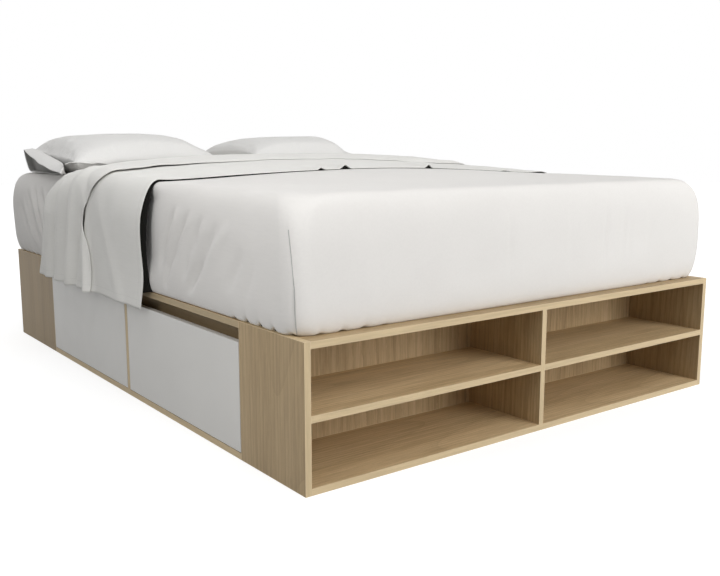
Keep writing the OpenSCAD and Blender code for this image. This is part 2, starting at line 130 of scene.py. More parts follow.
def tubeAlong(name, path, radius, sides):
    # a round profile carried along a path, path + radius (across cos + up sin), ends closed
    path = np.asarray(path, float)
    tangent = np.gradient(path, axis=0)
    tangent /= np.linalg.norm(tangent, axis=1)[:, None]
    helper = np.where(np.abs(tangent[:, 2:]) > .9, [[1.0, 0, 0]], [[0, 0, 1.0]])
    across = np.cross(tangent, helper)
    across /= np.linalg.norm(across, axis=1)[:, None]
    up = np.cross(across, tangent)
    turn = np.linspace(0, 2 * math.pi, sides, endpoint=False)
    ring = (across[:, None] * np.cos(turn)[None, :, None]
            + up[:, None] * np.sin(turn)[None, :, None]) * radius
    points = np.concatenate([(path[:, None] + ring).reshape(-1, 3), path[:1], path[-1:]])
    count, last = len(path), (len(path) - 1) * sides
    j = np.arange(sides)
    j2 = (j + 1) % sides
    caps = np.concatenate([
        np.stack([np.full(sides, count * sides), j2, j], 1),
        np.stack([np.full(sides, count * sides + 1), last + j, last + j2], 1)])
    return meshPiece(name, points, [gridFaces(count, sides, closedColumns=True), caps])


def coordsOf(mesh):
    # the mesh's points as one array, a row each
    flat = np.zeros(len(mesh.vertices) * 3)
    mesh.vertices.foreach_get("co", flat)
    return flat.reshape(-1, 3)


def giveCoords(mesh, points):
    # puts an array of points back into the mesh
    mesh.vertices.foreach_set("co", points.ravel())
    mesh.update()


def applyModifiers(piece):
    # what the modifiers show becomes the piece's own smooth mesh
    depsgraph = bpy.context.evaluated_depsgraph_get()
    baked = bpy.data.meshes.new_from_object(piece.evaluated_get(depsgraph))
    piece.modifiers.clear()
    old = piece.data
    piece.data = baked
    bpy.data.meshes.remove(old)
    piece.data.polygons.foreach_set("use_smooth", np.ones(len(piece.data.polygons), bool))


# materials

def shade(colour, share):
    # a colour made darker or lighter by one share
    return tuple(share * c for c in colour)


class Shader:
    # one material and short calls that add nodes to it
    def __init__(self, name, **settings):
        self.material = bpy.data.materials.new(name)
        self.material.use_nodes = True
        self.tree = self.material.node_tree
        self.surface = self.tree.nodes["Principled BSDF"]
        for socket, value in settings.items():
            self.surface.inputs[socket.replace("_", " ")].default_value = value

    def node(self, kind, inputs=None, **attributes):
        # adds a node; an input that is a socket is linked, any other value is set
        made = self.tree.nodes.new("ShaderNode" + kind)
        for key, value in attributes.items():
            setattr(made, key, value)
        for key, value in (inputs or {}).items():
            if isinstance(value, bpy.types.NodeSocket):
                self.tree.links.new(value, made.inputs[key])
            else:
                made.inputs[key].default_value = value
        return made

    def math(self, operation, a, b=0.0):
        return self.node("Math", {0: a, 1: b}, operation=operation).outputs[0]

    def ramp(self, value, stops):
        # colours at places from 0 to 1
        made = self.node("ValToRGB", {0: value})
        ramp = made.color_ramp
        while len(ramp.elements) < len(stops):
            ramp.elements.new(.5)
        for element, (place, colour) in zip(ramp.elements, stops):
            element.position = place
            element.color = (*colour, 1)
        return made.outputs[0]

    def mix(self, share, a, b):
        # a (1 - share) + b share; the Mix node's sockets 0, 6 and 7 take share and colours
        made = self.node("Mix", data_type="RGBA")
        for key, value in ((0, share), (6, a), (7, b)):
            if isinstance(value, bpy.types.NodeSocket):
                self.tree.links.new(value, made.inputs[key])
            else:
                made.inputs[key].default_value = value if key == 0 else (*value, 1)
        return made.outputs[2]

    def spread(self, value, low, high, toLow=0.0, toHigh=1.0, **attributes):
        # value from low to high becomes toLow to toHigh
        return self.node("MapRange", {"Value": value, "From Min": low, "From Max": high,
                                      "To Min": toLow, "To Max": toHigh}, **attributes).outputs[0]

    def noise(self, vector, scale, detail=2.0, roughness=.5):
        return self.node("TexNoise", {"Vector": vector, "Scale": scale, "Detail": detail,
                                      "Roughness": roughness}).outputs[0]

    def objectPoints(self, location=(0, 0, 0), rotation=(0, 0, 0), scale=(1, 1, 1)):
        # the piece's own coordinates in metres, stretched, turned and shifted
        source = self.node("TexCoord").outputs["Object"]
        return self.node("Mapping", {"Vector": source, "Location": location,
                                     "Rotation": rotation, "Scale": scale}).outputs[0]

    def bump(self, height, distance, strength, under=None):
        # relief of height * distance metres, added to another bump's where one is given
        inputs = {"Height": height, "Distance": distance, "Strength": strength}
        if under is not None:
            inputs["Normal"] = under
        return self.node("Bump", inputs).outputs[0]

    def plug(self, value, socket):
        self.tree.links.new(value, self.surface.inputs[socket])

    def faceDistances(self, box):
        # distance from each of the three pairs of faces of a board: (high - low) / 2 - |offset|
        low, high = box
        parts = self.node("SeparateXYZ", {0: self.node("TexCoord").outputs["Object"]})
        distances = []
        for axis in range(3):
            offset = self.math("SUBTRACT", parts.outputs[axis], (low[axis] + high[axis]) / 2)
            distances.append(self.math("SUBTRACT", (high[axis] - low[axis]) / 2,
                                       self.math("ABSOLUTE", offset)))
        return distances

    def lipping(self, box, width):
        # 1 on the narrow faces of a board, where a strip of veneer covers its edge
        thin = int(np.argmin(np.array(box[1]) - np.array(box[0])))
        a, b = [d for k, d in enumerate(self.faceDistances(box)) if k != thin]
        return self.math("LESS_THAN", self.math("MINIMUM", a, b), width)

    def edgeBand(self, box, width):
        # 1 on the arrises of a board, from the middle one of its distances to its three
        # pairs of faces: median = max(min(a, b), min(max(a, b), c))
        a, b, c = self.faceDistances(box)
        median = self.math("MAXIMUM", self.math("MINIMUM", a, b),
                           self.math("MINIMUM", self.math("MAXIMUM", a, b), c))
        return self.spread(median, width, 0.0, interpolation_type="SMOOTHSTEP")


oakLook = dict(
    dark=(.375, .262, .136), middle=(.525, .384, .215), light=(.620, .466, .276),
    # band: a painted highlight, the paler colour given to the eased arris of a board
    band=(.700, .560, .360),     # the eased arris of a board
    lip=(.690, .545, .335),      # the strip of veneer on its narrow faces
    arrisWidth=.0014, lipWidth=.0006, lipShare=.85, arrisHighlightShare=.75,
    grainStretch=.045,           # how much longer every mark is along the grain
    streakScale=160, cloudScale=14, poreScale=900, poreShare=.35, relief=.00025,
    roughness=.52,               # about the mean of the map that drives it
    ringWidth=.0105, ringTilt=.035, ringBend=.05,
    figureScale=4.2, figureLines=24.0, figureShare=.42, plainFigure=.18,
    # boards whose veneer shows more of the figure than plainFigure
    figures=dict(foot_back=1.0, foot_top=.5, foot_divider=.6, head_front=.8, head_end=.8,
                 foot_side_left=.55, foot_shelf_left=.40, foot_shelf_right=.35, foot_bottom=.45),
    # painted light and shade: boards, or the strips on their edges, made darker or lighter than the
    # rest where shade or light falls on them
    paintedLightAndShade=dict(foot_side_left=.82, foot_side_right=.86, head_side_left=.60, head_side_right=.86,
               foot_top=.86, foot_back=1.05, foot_shelf_left=1.26, foot_bottom=1.12,
               foot_shelf_right=1.08, rail_left_foot=.50, rail_left_head=.50),
    lipPaintedShades=dict(deck_foot=.66, deck_head=.66, rail_left_foot=.56, rail_left_head=.56))


def oakMaterial(node, grainAxis, seed):
    # pale oak veneer: growth rings about a slightly tilted line beside the board, streaks and
    # pores drawn out along the grain, a lighter strip on the narrow faces, paler arrises that are a
    # painted highlight, and painted shade or light that darkens or lightens some whole boards
    look, box = oakLook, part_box(node)
    # tone and the factor for the edge strip: this board's painted shade or light, a factor on its
    # veneer colours
    tone, lipPaintedShade = look["paintedLightAndShade"].get(node, 1.0), look["lipPaintedShades"].get(node, 1.0)
    rng = np.random.default_rng(seed)
    s = Shader("oak_" + node, Roughness=look["roughness"], Specular_IOR_Level=.35)
    tilt = rng.uniform(-look["ringTilt"], look["ringTilt"], 2)
    turn = {"X": (tilt[0], math.pi / 2 + tilt[1], 0), "Y": (math.pi / 2 + tilt[0], 0, tilt[1]),
            "Z": (tilt[0], tilt[1], 0)}[grainAxis]
    shift = rng.uniform(-3, 3, 3)
    away = rng.uniform(.08, .2, 2) * rng.choice([-1, 1], 2)
    stretch = [1.0, 1.0, 1.0]
    stretch["XYZ".index(grainAxis)] = look["grainStretch"]
    drawn = s.objectPoints(location=shift, scale=stretch)
    streaks = s.noise(drawn, look["streakScale"], 4, .62)
    clouds = s.noise(drawn, look["cloudScale"], 2)
    level = s.math("ADD", s.math("MULTIPLY", streaks, .62), s.math("MULTIPLY", clouds, .38))
    colour = s.ramp(level, [(place, shade(look[key], tone)) for place, key in
                            ((.33, "dark"), (.5, "middle"), (.66, "light"))])
    colour = s.mix(growthRings(s, drawn, (away[0], away[1], shift[2]), turn), colour,
                   shade(look["dark"], .80))
    # cathedral figure: dark lines where the level of a slow, drawn-out noise steps
    slow = s.noise(s.objectPoints(location=shift[::-1], scale=[.5 * k + .02 for k in stretch]),
                   look["figureScale"], 1, .35)
    step = s.math("FRACT", s.math("MULTIPLY", slow, look["figureLines"]))
    share = look["figureShare"] * look["figures"].get(node, look["plainFigure"])
    line = s.math("MULTIPLY", s.math("POWER", step, 7.0), share)
    colour = s.mix(line, colour, shade(look["dark"], .60))
    pores = s.spread(s.noise(drawn, look["poreScale"], 1), .64, .72)
    colour = s.mix(s.math("MULTIPLY", pores, look["poreShare"]), colour, shade(look["dark"], .5))
    # the edge strip, darkened by its painted shade where it has one
    strip = s.ramp(streaks, [(.34, shade(look["lip"], .86 * lipPaintedShade)),
                             (.62, shade(look["lip"], lipPaintedShade))])
    colour = s.mix(s.math("MULTIPLY", s.lipping(box, look["lipWidth"]), look["lipShare"]), colour,
                   strip)
    # paler arrises: a painted highlight where the eased edges would catch the light
    arrisHighlight = s.edgeBand(box, look["arrisWidth"])
    colour = s.mix(s.math("MULTIPLY", arrisHighlight, look["arrisHighlightShare"]), colour, look["band"])
    s.plug(colour, "Base Color")
    s.plug(s.spread(streaks, .3, .7, .46, .62), "Roughness")
    relief = s.math("SUBTRACT", s.math("MULTIPLY", streaks, .6), s.math("MULTIPLY", pores, .8))
    s.plug(s.bump(relief, look["relief"], .6), "Normal")
    return s.material


def growthRings(s, drawn, centre, turn):
    # dark late wood: the third power of a saw wave over the distance from the tree's middle,
    # whose line is bent by noise, and whose strength wanders along the grain
    wobble = s.noise(drawn, 9, 3)
    bend = s.node("TexNoise", {"Vector": drawn, "Scale": 5.0, "Detail": 2.0}).outputs[1]
    bend = s.node("VectorMath", {0: bend, "Scale": oakLook["ringBend"]}, operation="SCALE")
    rings = s.objectPoints(location=centre, rotation=turn)
    bent = s.node("VectorMath", {0: rings, 1: bend.outputs[0]}, operation="ADD").outputs[0]
    wave = s.node("TexWave", {"Vector": bent, "Scale": .314 / oakLook["ringWidth"],
                              "Distortion": 1.4, "Detail": 3.0, "Detail Scale": 1.2},
                  wave_type="RINGS", rings_direction="Z", wave_profile="SAW").outputs["Fac"]
    return s.math("MULTIPLY", s.math("POWER", wave, 3.0), s.spread(wobble, .35, .65, .18, .62))


melamineLook = dict(dark=(.683, .673, .645), light=(.723, .711, .681), band=(.62, .61, .59),
                    bandWidth=.0012, roughness=.34, cloudScale=3.5, glossScale=22,
                    peelScale=700, peel=.00008)


def melamineMaterial(node, seed):
    # white satin board: a fine orange-peel skin, faint clouds, and a thin line at the edge band
    look = melamineLook
    s = Shader("melamine_" + node, Roughness=look["roughness"], Specular_IOR_Level=.4)
    points = s.objectPoints(location=np.random.default_rng(seed).uniform(-2, 2, 3))
    colour = s.ramp(s.noise(points, look["cloudScale"], 3),
                    [(.3, look["dark"]), (.7, look["light"])])
    band = s.edgeBand(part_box(node), look["bandWidth"])
    s.plug(s.mix(s.math("MULTIPLY", band, .35), colour, look["band"]), "Base Color")
    s.plug(s.spread(s.noise(points, look["glossScale"], 3), .3, .7, .29, .40), "Roughness")
    s.plug(s.bump(s.noise(points, look["peelScale"], 2), look["peel"], .5), "Normal")
    return s.material


birchLook = dict(dark=(.56, .44, .29), middle=(.68, .56, .39), light=(.74, .63, .46),
                 fleck=(.40, .27, .15), band=(.80, .70, .54), bandWidth=.0012,
                 grainStretch=.06, streakScale=120, fleckScale=420, relief=.0002)


def birchMaterial(name, node, grainAxis, seed):
    # clear lacquered birch: fine pale streaks and small brown flecks along the grain
    look = birchLook
    s = Shader(name, Roughness=.4, Specular_IOR_Level=.4)
    stretch = [1.0, 1.0, 1.0]
    stretch["XYZ".index(grainAxis)] = look["grainStretch"]
    drawn = s.objectPoints(location=np.random.default_rng(seed).uniform(-2, 2, 3), scale=stretch)
    streaks = s.noise(drawn, look["streakScale"], 4, .6)
    colour = s.ramp(streaks, [(.35, look["dark"]), (.52, look["middle"]), (.68, look["light"])])
    flecks = s.spread(s.noise(drawn, look["fleckScale"], 1), .66, .74)
    colour = s.mix(s.math("MULTIPLY", flecks, .4), colour, look["fleck"])
    # paler arrises: a painted highlight along the edges of the board
    band = s.edgeBand(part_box(node), look["bandWidth"])
    s.plug(s.mix(s.math("MULTIPLY", band, .5), colour, look["band"]), "Base Color")
    s.plug(s.bump(streaks, look["relief"], .5), "Normal")
    return s.material


steelLook = dict(dark=(.50, .51, .52), light=(.68, .69, .70), markScale=900, markStretch=.04,
                 crystalScale=260.0, relief=.0001, roughness=.36)


def steelMaterial(name):
    # zinc plated steel: rolling marks along the runner and a faint crystal pattern
    look = steelLook
    s = Shader(name, Metallic=1.0, Roughness=look["roughness"])
    marks = s.noise(s.objectPoints(scale=(look["markStretch"], 1, 1)), look["markScale"], 3)
    crystals = s.node("TexVoronoi", {"Vector": s.objectPoints(), "Scale": look["crystalScale"]})
    grey = s.node("SeparateXYZ", {0: crystals.outputs["Color"]}).outputs[0]
    level = s.math("ADD", s.math("MULTIPLY", marks, .7), s.math("MULTIPLY", grey, .3))
    s.plug(s.ramp(level, [(.25, look["dark"]), (.75, look["light"])]), "Base Color")
    s.plug(s.spread(marks, .3, .7, .28, .46), "Roughness")
    s.plug(s.bump(marks, look["relief"], .4), "Normal")
    return s.material


def giveMaterial(piece, material):
    # one material for the whole piece, in place of what it had
    piece.data.materials.clear()
    piece.data.materials.append(material)


# which way the grain of each oak board runs
grainBoards = dict(
    X="foot_top foot_bottom foot_shelf_left foot_shelf_right head_top head_bottom deck_cleats",
    Y="bay_bottom_foot bay_bottom_head rail_left_foot rail_left_head rail_right_foot "
      "rail_right_head deck_foot deck_head",
    Z="foot_side_left foot_side_right head_side_left head_side_right foot_back foot_divider "
      "head_front head_end bay_divider spine_foot spine_head")
grainOf = {board: axis for axis, boards in grainBoards.items() for board in boards.split()}

zincSteel = steelMaterial("zincSteel")
dowelBirch = birchMaterial("dowelBirch", "foot_dowels", "X", 5)
for seed, name in enumerate(sorted(nodes)):
    if name in grainOf:
        giveMaterial(nodes[name], oakMaterial(name, grainOf[name], 11 + seed))
    elif name.endswith("_front"):
        giveMaterial(nodes[name], melamineMaterial(name, seed))
    elif name.endswith(("box_sides", "tray")):
        giveMaterial(nodes[name], birchMaterial("birch_" + name, name, "X", seed))
    elif name.endswith("box_ends"):
        giveMaterial(nodes[name], birchMaterial("birch_" + name, name, "Y", seed))
    elif name.endswith("dowels"):
        giveMaterial(nodes[name], dowelBirch)
    elif "runner" in name:
        giveMaterial(nodes[name], zincSteel)
print("board and runner materials done")


clothLook = dict(weave=.0009, fineWeave=.0008, coarseWeave=.0012, threadHeight=.00006,
                 stitch=.0034, cloudScale=4.5, slubScale=190, crumpleScale=34, crumple=.0009)


def clothMaterial(name, base, weave=clothLook["weave"], coords="UV", hems=()):
    # cotton: two crossing sets of threads as relief, sin(kx) sin(ky), with slubs, soft clouds of
    # tone and sheen. hems are lines of stitches (axis, place, half of the line's width) in
    # UV metres
    look = clothLook
    s = Shader(name, Roughness=.88, Specular_IOR_Level=.25, Sheen_Weight=.18, Sheen_Roughness=.45)
    parts = s.node("SeparateXYZ", {0: s.node("TexCoord").outputs[coords]}).outputs
    waves = [s.math("SINE", s.math("MULTIPLY", parts[k], 2 * math.pi / weave)) for k in range(3)]
    height = s.math("MULTIPLY", waves[0], waves[1])
    if coords == "Object":
        height = s.math("ADD", height, s.math("MULTIPLY", waves[2],
                                              s.math("ADD", waves[0], waves[1])))
    clouds = s.noise(s.objectPoints(), look["cloudScale"], 3)
    slubs = s.noise(s.objectPoints(scale=(1, .12, 1)), look["slubScale"], 2)
    tone = s.math("ADD", s.math("MULTIPLY", clouds, .6), s.math("MULTIPLY", slubs, .4))
    colour = s.ramp(tone, [(.35, shade(base, .965)), (.65, base)])
    for axis, place, half in hems:
        off = s.math("ABSOLUTE", s.math("SUBTRACT", parts[axis], place))
        line = s.spread(off, half, half * .4, interpolation_type="SMOOTHSTEP")
        along = s.math("MULTIPLY", parts[1 - axis], 2 * math.pi / look["stitch"])
        stitch = s.math("GREATER_THAN", s.math("SINE", along), -.35)
        colour = s.mix(s.math("MULTIPLY", s.math("MULTIPLY", line, stitch), .35), colour,
                       shade(base, .72))
        height = s.math("SUBTRACT", height, s.math("MULTIPLY", line, 4.0))
    s.plug(colour, "Base Color")
    fine = s.bump(height, look["threadHeight"], .55)
    crumple = s.noise(s.objectPoints(), look["crumpleScale"], 3)
    s.plug(s.bump(crumple, look["crumple"], .16, fine), "Normal")
    return s.material


# the outline that every soft piece follows: the mattress node's box, 1 mm wider on each side
bedLow, bedHigh = (np.round(corner, 4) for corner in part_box("mattress"))
bed = dict(
    halfW=bedHigh[0] + .001, halfL=(bedHigh[1] - bedLow[1]) / 2,
    centreY=(bedHigh[1] + bedLow[1]) / 2,
    deckZ=bedLow[2], midZ=bedLow[2] + .145,      # midZ: where the sides are widest
    crown=.025, topZ=bedHigh[2] - .025,          # topZ: the edge of the top, under its crown
    topRoll=.052, bottomRoll=.024, topPower=2.7, bottomPower=2.7,
    cornerR=.050, growTop=.80, growLow=.20, cornerDroop=.007, tilt=.003)
flatHalf = bed["halfW"] - bed["topRoll"]         # where the top's edges begin to roll


def crownAt(x, y):
    # rise of the mattress top: crown * ((1 - sx^2)(1 - sy^4))^1.5, level where the roll starts
    sx = np.clip(np.abs(x) / flatHalf, 0, 1)
    sy = np.clip(np.abs(y - bed["centreY"]) / (bed["halfL"] - bed["topRoll"]), 0, 1)
    return bed["crown"] * ((1 - sx ** 2) * (1 - sy ** 4)) ** 1.5


def rimAt(x, y, z):
    # the top sinks a little towards its four corners and rises a little to the right; felt
    # above the widest height, in the square of the height's share
    sx, sy = x / bed["halfW"], (y - bed["centreY"]) / bed["halfL"]
    share = np.clip((z - bed["midZ"]) / (bed["topZ"] - bed["midZ"]), 0, 1)
    return share ** 2 * (bed["tilt"] * smooth(-.6, 1, sx) * (1 - sy ** 4)
                         - bed["cornerDroop"] * np.abs(sx) ** 6 * np.abs(sy) ** 6)


def cornerRadius(inset, z):
    # the corners' radius grows with the inset, more above the widest height than below it
    return bed["cornerR"] + inset * np.where(z > bed["midZ"], bed["growTop"], bed["growLow"])


def rollAt(angle, upper):
    # quarter of a superellipse of power n, above or below the widest height:
    # inset = roll (1 - cos^(2/n)), height = rise sin^(2/n), and its outward normal
    roll, rise, power = ((bed["topRoll"], bed["topZ"] - bed["midZ"], bed["topPower"]) if upper
                         else (bed["bottomRoll"], bed["deckZ"] - bed["midZ"],
                               bed["bottomPower"]))
    c, s = np.abs(np.cos(angle)), np.abs(np.sin(angle))
    out, up = c ** (2 - 2 / power) / roll, s ** (2 - 2 / power) / rise
    size = np.hypot(out, up)
    return (roll * (1 - c ** (2 / power)), bed["midZ"] + rise * s ** (2 / power),
            out / size, up / size)


def insetAt(z):
    # how far the side lies in from the widest outline at height z: roll (1 - (1 - t^n)^(1/n))
    insets = []
    for end, high in (("bottom", bed["deckZ"]), ("top", bed["topZ"])):
        roll, power = bed[end + "Roll"], bed[end + "Power"]
        share = np.clip((z - bed["midZ"]) / (high - bed["midZ"]), 0, 1)
        insets.append(roll * (1 - (1 - share ** power) ** (1 / power)))
    return np.where(z > bed["midZ"], insets[1], insets[0])


mattressLook = dict(
    # the corner seams' grey is partly their own colour and partly painted shade
    base=(.832, .812, .784), threadShade=(.46, .455, .445), waveHeight=.0009,
    seamAngle=((.322, 45), (.420, 45), (.440, 43), (.484, 39), (.515, 35), (.560, 29), (.592, 25)),
    seamRadius=.0010, seamLow=.323, seamHigh=.534,
    # the side is drawn in a little beside the top sheet's foot-side edge
    waist=.020, waistY=-.225, waistWidth=.080,
    # elastic gathers along the hem, close to the corners
    puckerStart=.097, puckerPitch=.056, puckerDepth=.0030, puckerRise=.0075, puckerReach=.31,
    # pulls in the fitted sheet: where they start, how far they run, width, and share of
    # creaseDepth; a negative share stands out. On the long sides as (y, z, dy, dz, width,
    # share), on the ends of the bed as (x, z, dz, dx, width, share)
    creaseDepth=.0080,
    leftPulls=(
        (-.641, .517, .155, -.165, .011, 1.1), (-.569, .530, .110, -.150, .010, 1.0),
        (-.701, .526, .099, -.089, .012, -.6), (-.764, .474, .079, -.090, .012, .6),
        (-.497, .539, .125, -.150, .011, 1.3), (-.421, .544, .094, -.150, .011, 1.4),
        (-.814, .460, .054, -.087, .010, .5), (-.387, .414, .042, -.075, .010, 1.0),
        (-.455, .550, .105, -.130, .010, -.7), (-.530, .540, .100, -.100, .010, -.6),
        (-.600, .530, .110, -.110, .011, -.6), (-.580, .440, .110, -.095, .011, .7)),
    headPulls=(
        (.695, .560, -.100, -.170, .010, 1.2), (.770, .540, -.105, -.170, .010, 1.2),
        (.627, .560, -.092, -.160, .010, 1.0), (.661, .549, -.099, -.162, .009, -.9),
        (.729, .553, -.103, -.165, .009, -.9), (.811, .508, -.110, -.154, .010, -.8),
        (.592, .565, -.082, -.127, .009, -.6), (.860, .500, -.105, -.140, .011, .6)),
    rightPulls=((-.700, .550, .090, -.190, .015, .6), (-.520, .555, .080, -.200, .014, .6),
                (-.350, .540, .070, -.180, .015, .5)),
    footEndPulls=(
        (-.106, .545, -.165, .004, .007, .24), (.113, .540, -.150, 0, .012, .21),
        (.135, .530, -.130, 0, .009, .15), (.257, .548, -.165, -.010, .008, .48),
        (.330, .545, -.160, -.006, .011, .27), (.355, .530, -.140, -.004, .008, .21),
        (.440, .520, -.110, -.004, .012, .18), (-.500, .500, -.120, .010, .014, .18)),
    headEndPulls=((-.45, .55, -.17, .03, .013, .4), (-.30, .54, -.16, .02, .012, .35),
                  (.28, .55, -.17, -.02, .013, .4), (.46, .54, -.16, -.03, .013, .4)))


def mattressCreases():
    # the pulls of every face as (start, end, width, depth), in metres
    depth = mattressLook["creaseDepth"]
    foot, head = bed["centreY"] - bed["halfL"], bed["centreY"] + bed["halfL"]

    def onSide(x, pulls):
        return [((x, y, z), (x, y + dy, z + dz), width, depth * share)
                for y, z, dy, dz, width, share in mattressLook[pulls]]

    def onEnd(y, pulls):
        return [((x, y, z), (x + dx, y, z + dz), width, depth * share)
                for x, z, dz, dx, width, share in mattressLook[pulls]]

    return (onSide(-bed["halfW"], "leftPulls") + onSide(-bed["halfW"], "headPulls")
            + onSide(bed["halfW"], "headPulls") + onEnd(foot, "footEndPulls")
            + onSide(bed["halfW"], "rightPulls") + onEnd(head, "headEndPulls"))


def perimeterPlaces(cornerSteps, longSteps, shortSteps):
    # walks round a rounded rectangle: side shares ax, ay in -1..1 and the direction of the
    # normal; a point is (ax (hx - r) + r cos, ay (hy - r) + r sin)
    corners = [(1, 1), (-1, 1), (-1, -1), (1, -1)]
    rows = []
    for k, (cx, cy) in enumerate(corners):
        angle = np.linspace(0, math.pi / 2, cornerSteps) + k * math.pi / 2
        rows.append(np.stack([np.full(cornerSteps, cx), np.full(cornerSteps, cy), angle], 1))
        nx, ny = corners[(k + 1) % 4]
        steps = shortSteps if k % 2 == 0 else longSteps
        t = np.linspace(0, 1, steps + 2)[1:-1]
        rows.append(np.stack([cx + (nx - cx) * t, cy + (ny - cy) * t,
                              np.full(steps, angle[-1])], 1))
    places = np.concatenate(rows)
    return places[:, 0], places[:, 1], np.cos(places[:, 2]), np.sin(places[:, 2])


def mattressRings():
    # stacked rings of a rounded rectangle, from the flat base over the bottom roll to the end
    # of the top roll, their outward normals, and how much each point looks to the side
    ax, ay, cosine, sine = (part[:, None] for part in perimeterPlaces(40, 250, 180))
    low = np.linspace(math.pi / 2, .06, 18)
    high = np.linspace(0, math.pi / 2, 30)
    inset, z, out, up = (np.concatenate(pair)[None, :]
                         for pair in zip(rollAt(low, False), rollAt(high, True)))
    r = cornerRadius(inset, z)
    x = ax * (bed["halfW"] - inset - r) + r * cosine
    y = ay * (bed["halfL"] - inset - r) + r * sine + bed["centreY"]
    points = np.stack([x, y, z + rimAt(x, y, z)], -1)
    normal = np.stack([cosine * out, sine * out, np.broadcast_to(up, x.shape)], -1)
    return points, normal, np.abs(cosine)


def hemGathers(points, sideways):
    # (1 + cos(2 pi along / pitch)) / 2 along the hem, and how strong it is: full near the
    # corners of the long sides, a third of that on the ends
    look = mattressLook
    onSide = sideways > .7
    along = np.where(onSide, bed["halfL"] - np.abs(points[..., 1] - bed["centreY"]),
                     bed["halfW"] - np.abs(points[..., 0]) + .02)
    gather = .5 + .5 * np.cos(2 * math.pi * (along - look["puckerStart"]) / look["puckerPitch"])
    near = smooth(.02, .07, along) * (1 - smooth(.22, look["puckerReach"], along))
    return gather, near * np.where(onSide, 1.0, .35)


def waistAt(points, sideways):
    # a bell along the bed, exp(-((y - waistY) / waistWidth)^2), between the two rolls
    look = mattressLook
    bell = np.exp(-((points[..., 1] - look["waistY"]) / look["waistWidth"]) ** 2)
    upright = smooth(.34, .42, points[..., 2]) * (1 - smooth(.56, .60, points[..., 2]))
    return look["waist"] * bell * sideways ** 2 * upright


def crownedTop(ring):
    # the last ring drawn in towards the middle, from its own height onto the crown
    share = np.linspace(1, 0, 30)[1:-1] ** 1.15
    x = ring[:, None, 0] * share
    y = bed["centreY"] + (ring[:, None, 1] - bed["centreY"]) * share
    level = bed["topZ"] + rimAt(x, y, bed["topZ"])
    level = level + (ring[:, None, 2] - level) * share ** 8
    top = np.stack([x, y, level + crownAt(x, y)], -1)
    top[..., 2] += .0007 * softNoise(top, .22, 8) * (1 - share ** 6)
    return top


def metresUv(grid, belt):
    # u round the piece along one ring of the grid, v up the grid, both in metres
    step = np.linalg.norm(np.diff(grid[:, belt], axis=0, append=grid[:1, belt]), axis=1)
    u = np.concatenate([[0], np.cumsum(step)[:-1]])[:, None]
    rise = np.linalg.norm(np.diff(grid, axis=1), axis=2)
    v = np.concatenate([np.zeros((len(grid), 1)), np.cumsum(rise, 1)], 1)
    return np.stack([np.broadcast_to(u, v.shape), v], -1).reshape(-1, 2), v.max()


def mattressPiece():
    # rings and crowned top, moved along the normals by what the fitted sheet adds: creases,
    # gathers, soft waves and the waist; a fan closes it above and below
    look = mattressLook
    points, normal, sideways = mattressRings()
    lift = np.zeros(points.shape[:2])
    for start, end, width, depth in mattressCreases():
        lift += crease(points, start, end, width, depth)
    gather, near = hemGathers(points, sideways)
    lift -= look["puckerDepth"] * gather ** 4 * near * (1 - smooth(.322, .362, points[..., 2]))
    lift += look["waveHeight"] * softNoise(points, .16, 3) * smooth(.33, .40, points[..., 2])
    lift -= waistAt(points, sideways)
    points = points + normal * lift[..., None]
    rise = gather ** 6 * near * (1 - smooth(.320, .338, points[..., 2]))
    points[..., 2] += look["puckerRise"] * rise
    grid = np.concatenate([points, crownedTop(points[:, -1])], 1)
    count, columns = grid.shape[:2]
    summit = bed["topZ"] + bed["crown"] + rimAt(0, bed["centreY"], bed["topZ"])
    middle = [[0, bed["centreY"], bed["deckZ"]], [0, bed["centreY"], summit]]
    i = np.arange(count)
    i2 = (i + 1) % count
    fans = np.concatenate([
        np.stack([np.full(count, count * columns), i2 * columns, i * columns], 1),
        np.stack([np.full(count, count * columns + 1), i * columns + columns - 1,
                  i2 * columns + columns - 1], 1)])
    uv, height = metresUv(grid, 20)
    return meshPiece("fittedMattress", np.concatenate([grid.reshape(-1, 3), middle]),
                     [gridFaces(count, columns, closedRows=True), fans],
                     np.concatenate([uv, [[0, 0], [0, height]]]))


def cornerSeam(name, sx, sy):
    # the sewn corner of the fitted sheet: a thin raised line up the corner arc, whose angle
    # from the long side follows seamAngle; its grey is partly the seam's own and partly painted
    # shade
    look = mattressLook
    z = np.linspace(look["seamLow"], look["seamHigh"], 70)
    angle = np.radians(table(look["seamAngle"], z))
    inset = insetAt(z)
    r = cornerRadius(inset, z)
    x = sx * (bed["halfW"] - inset - r + (r + .0006) * np.cos(angle))
    y = bed["centreY"] + sy * (bed["halfL"] - inset - r + (r + .0006) * np.sin(angle))
    return tubeAlong(name, np.stack([x, y, z], 1), look["seamRadius"], sides=8)


# the top sheet, turned back over itself

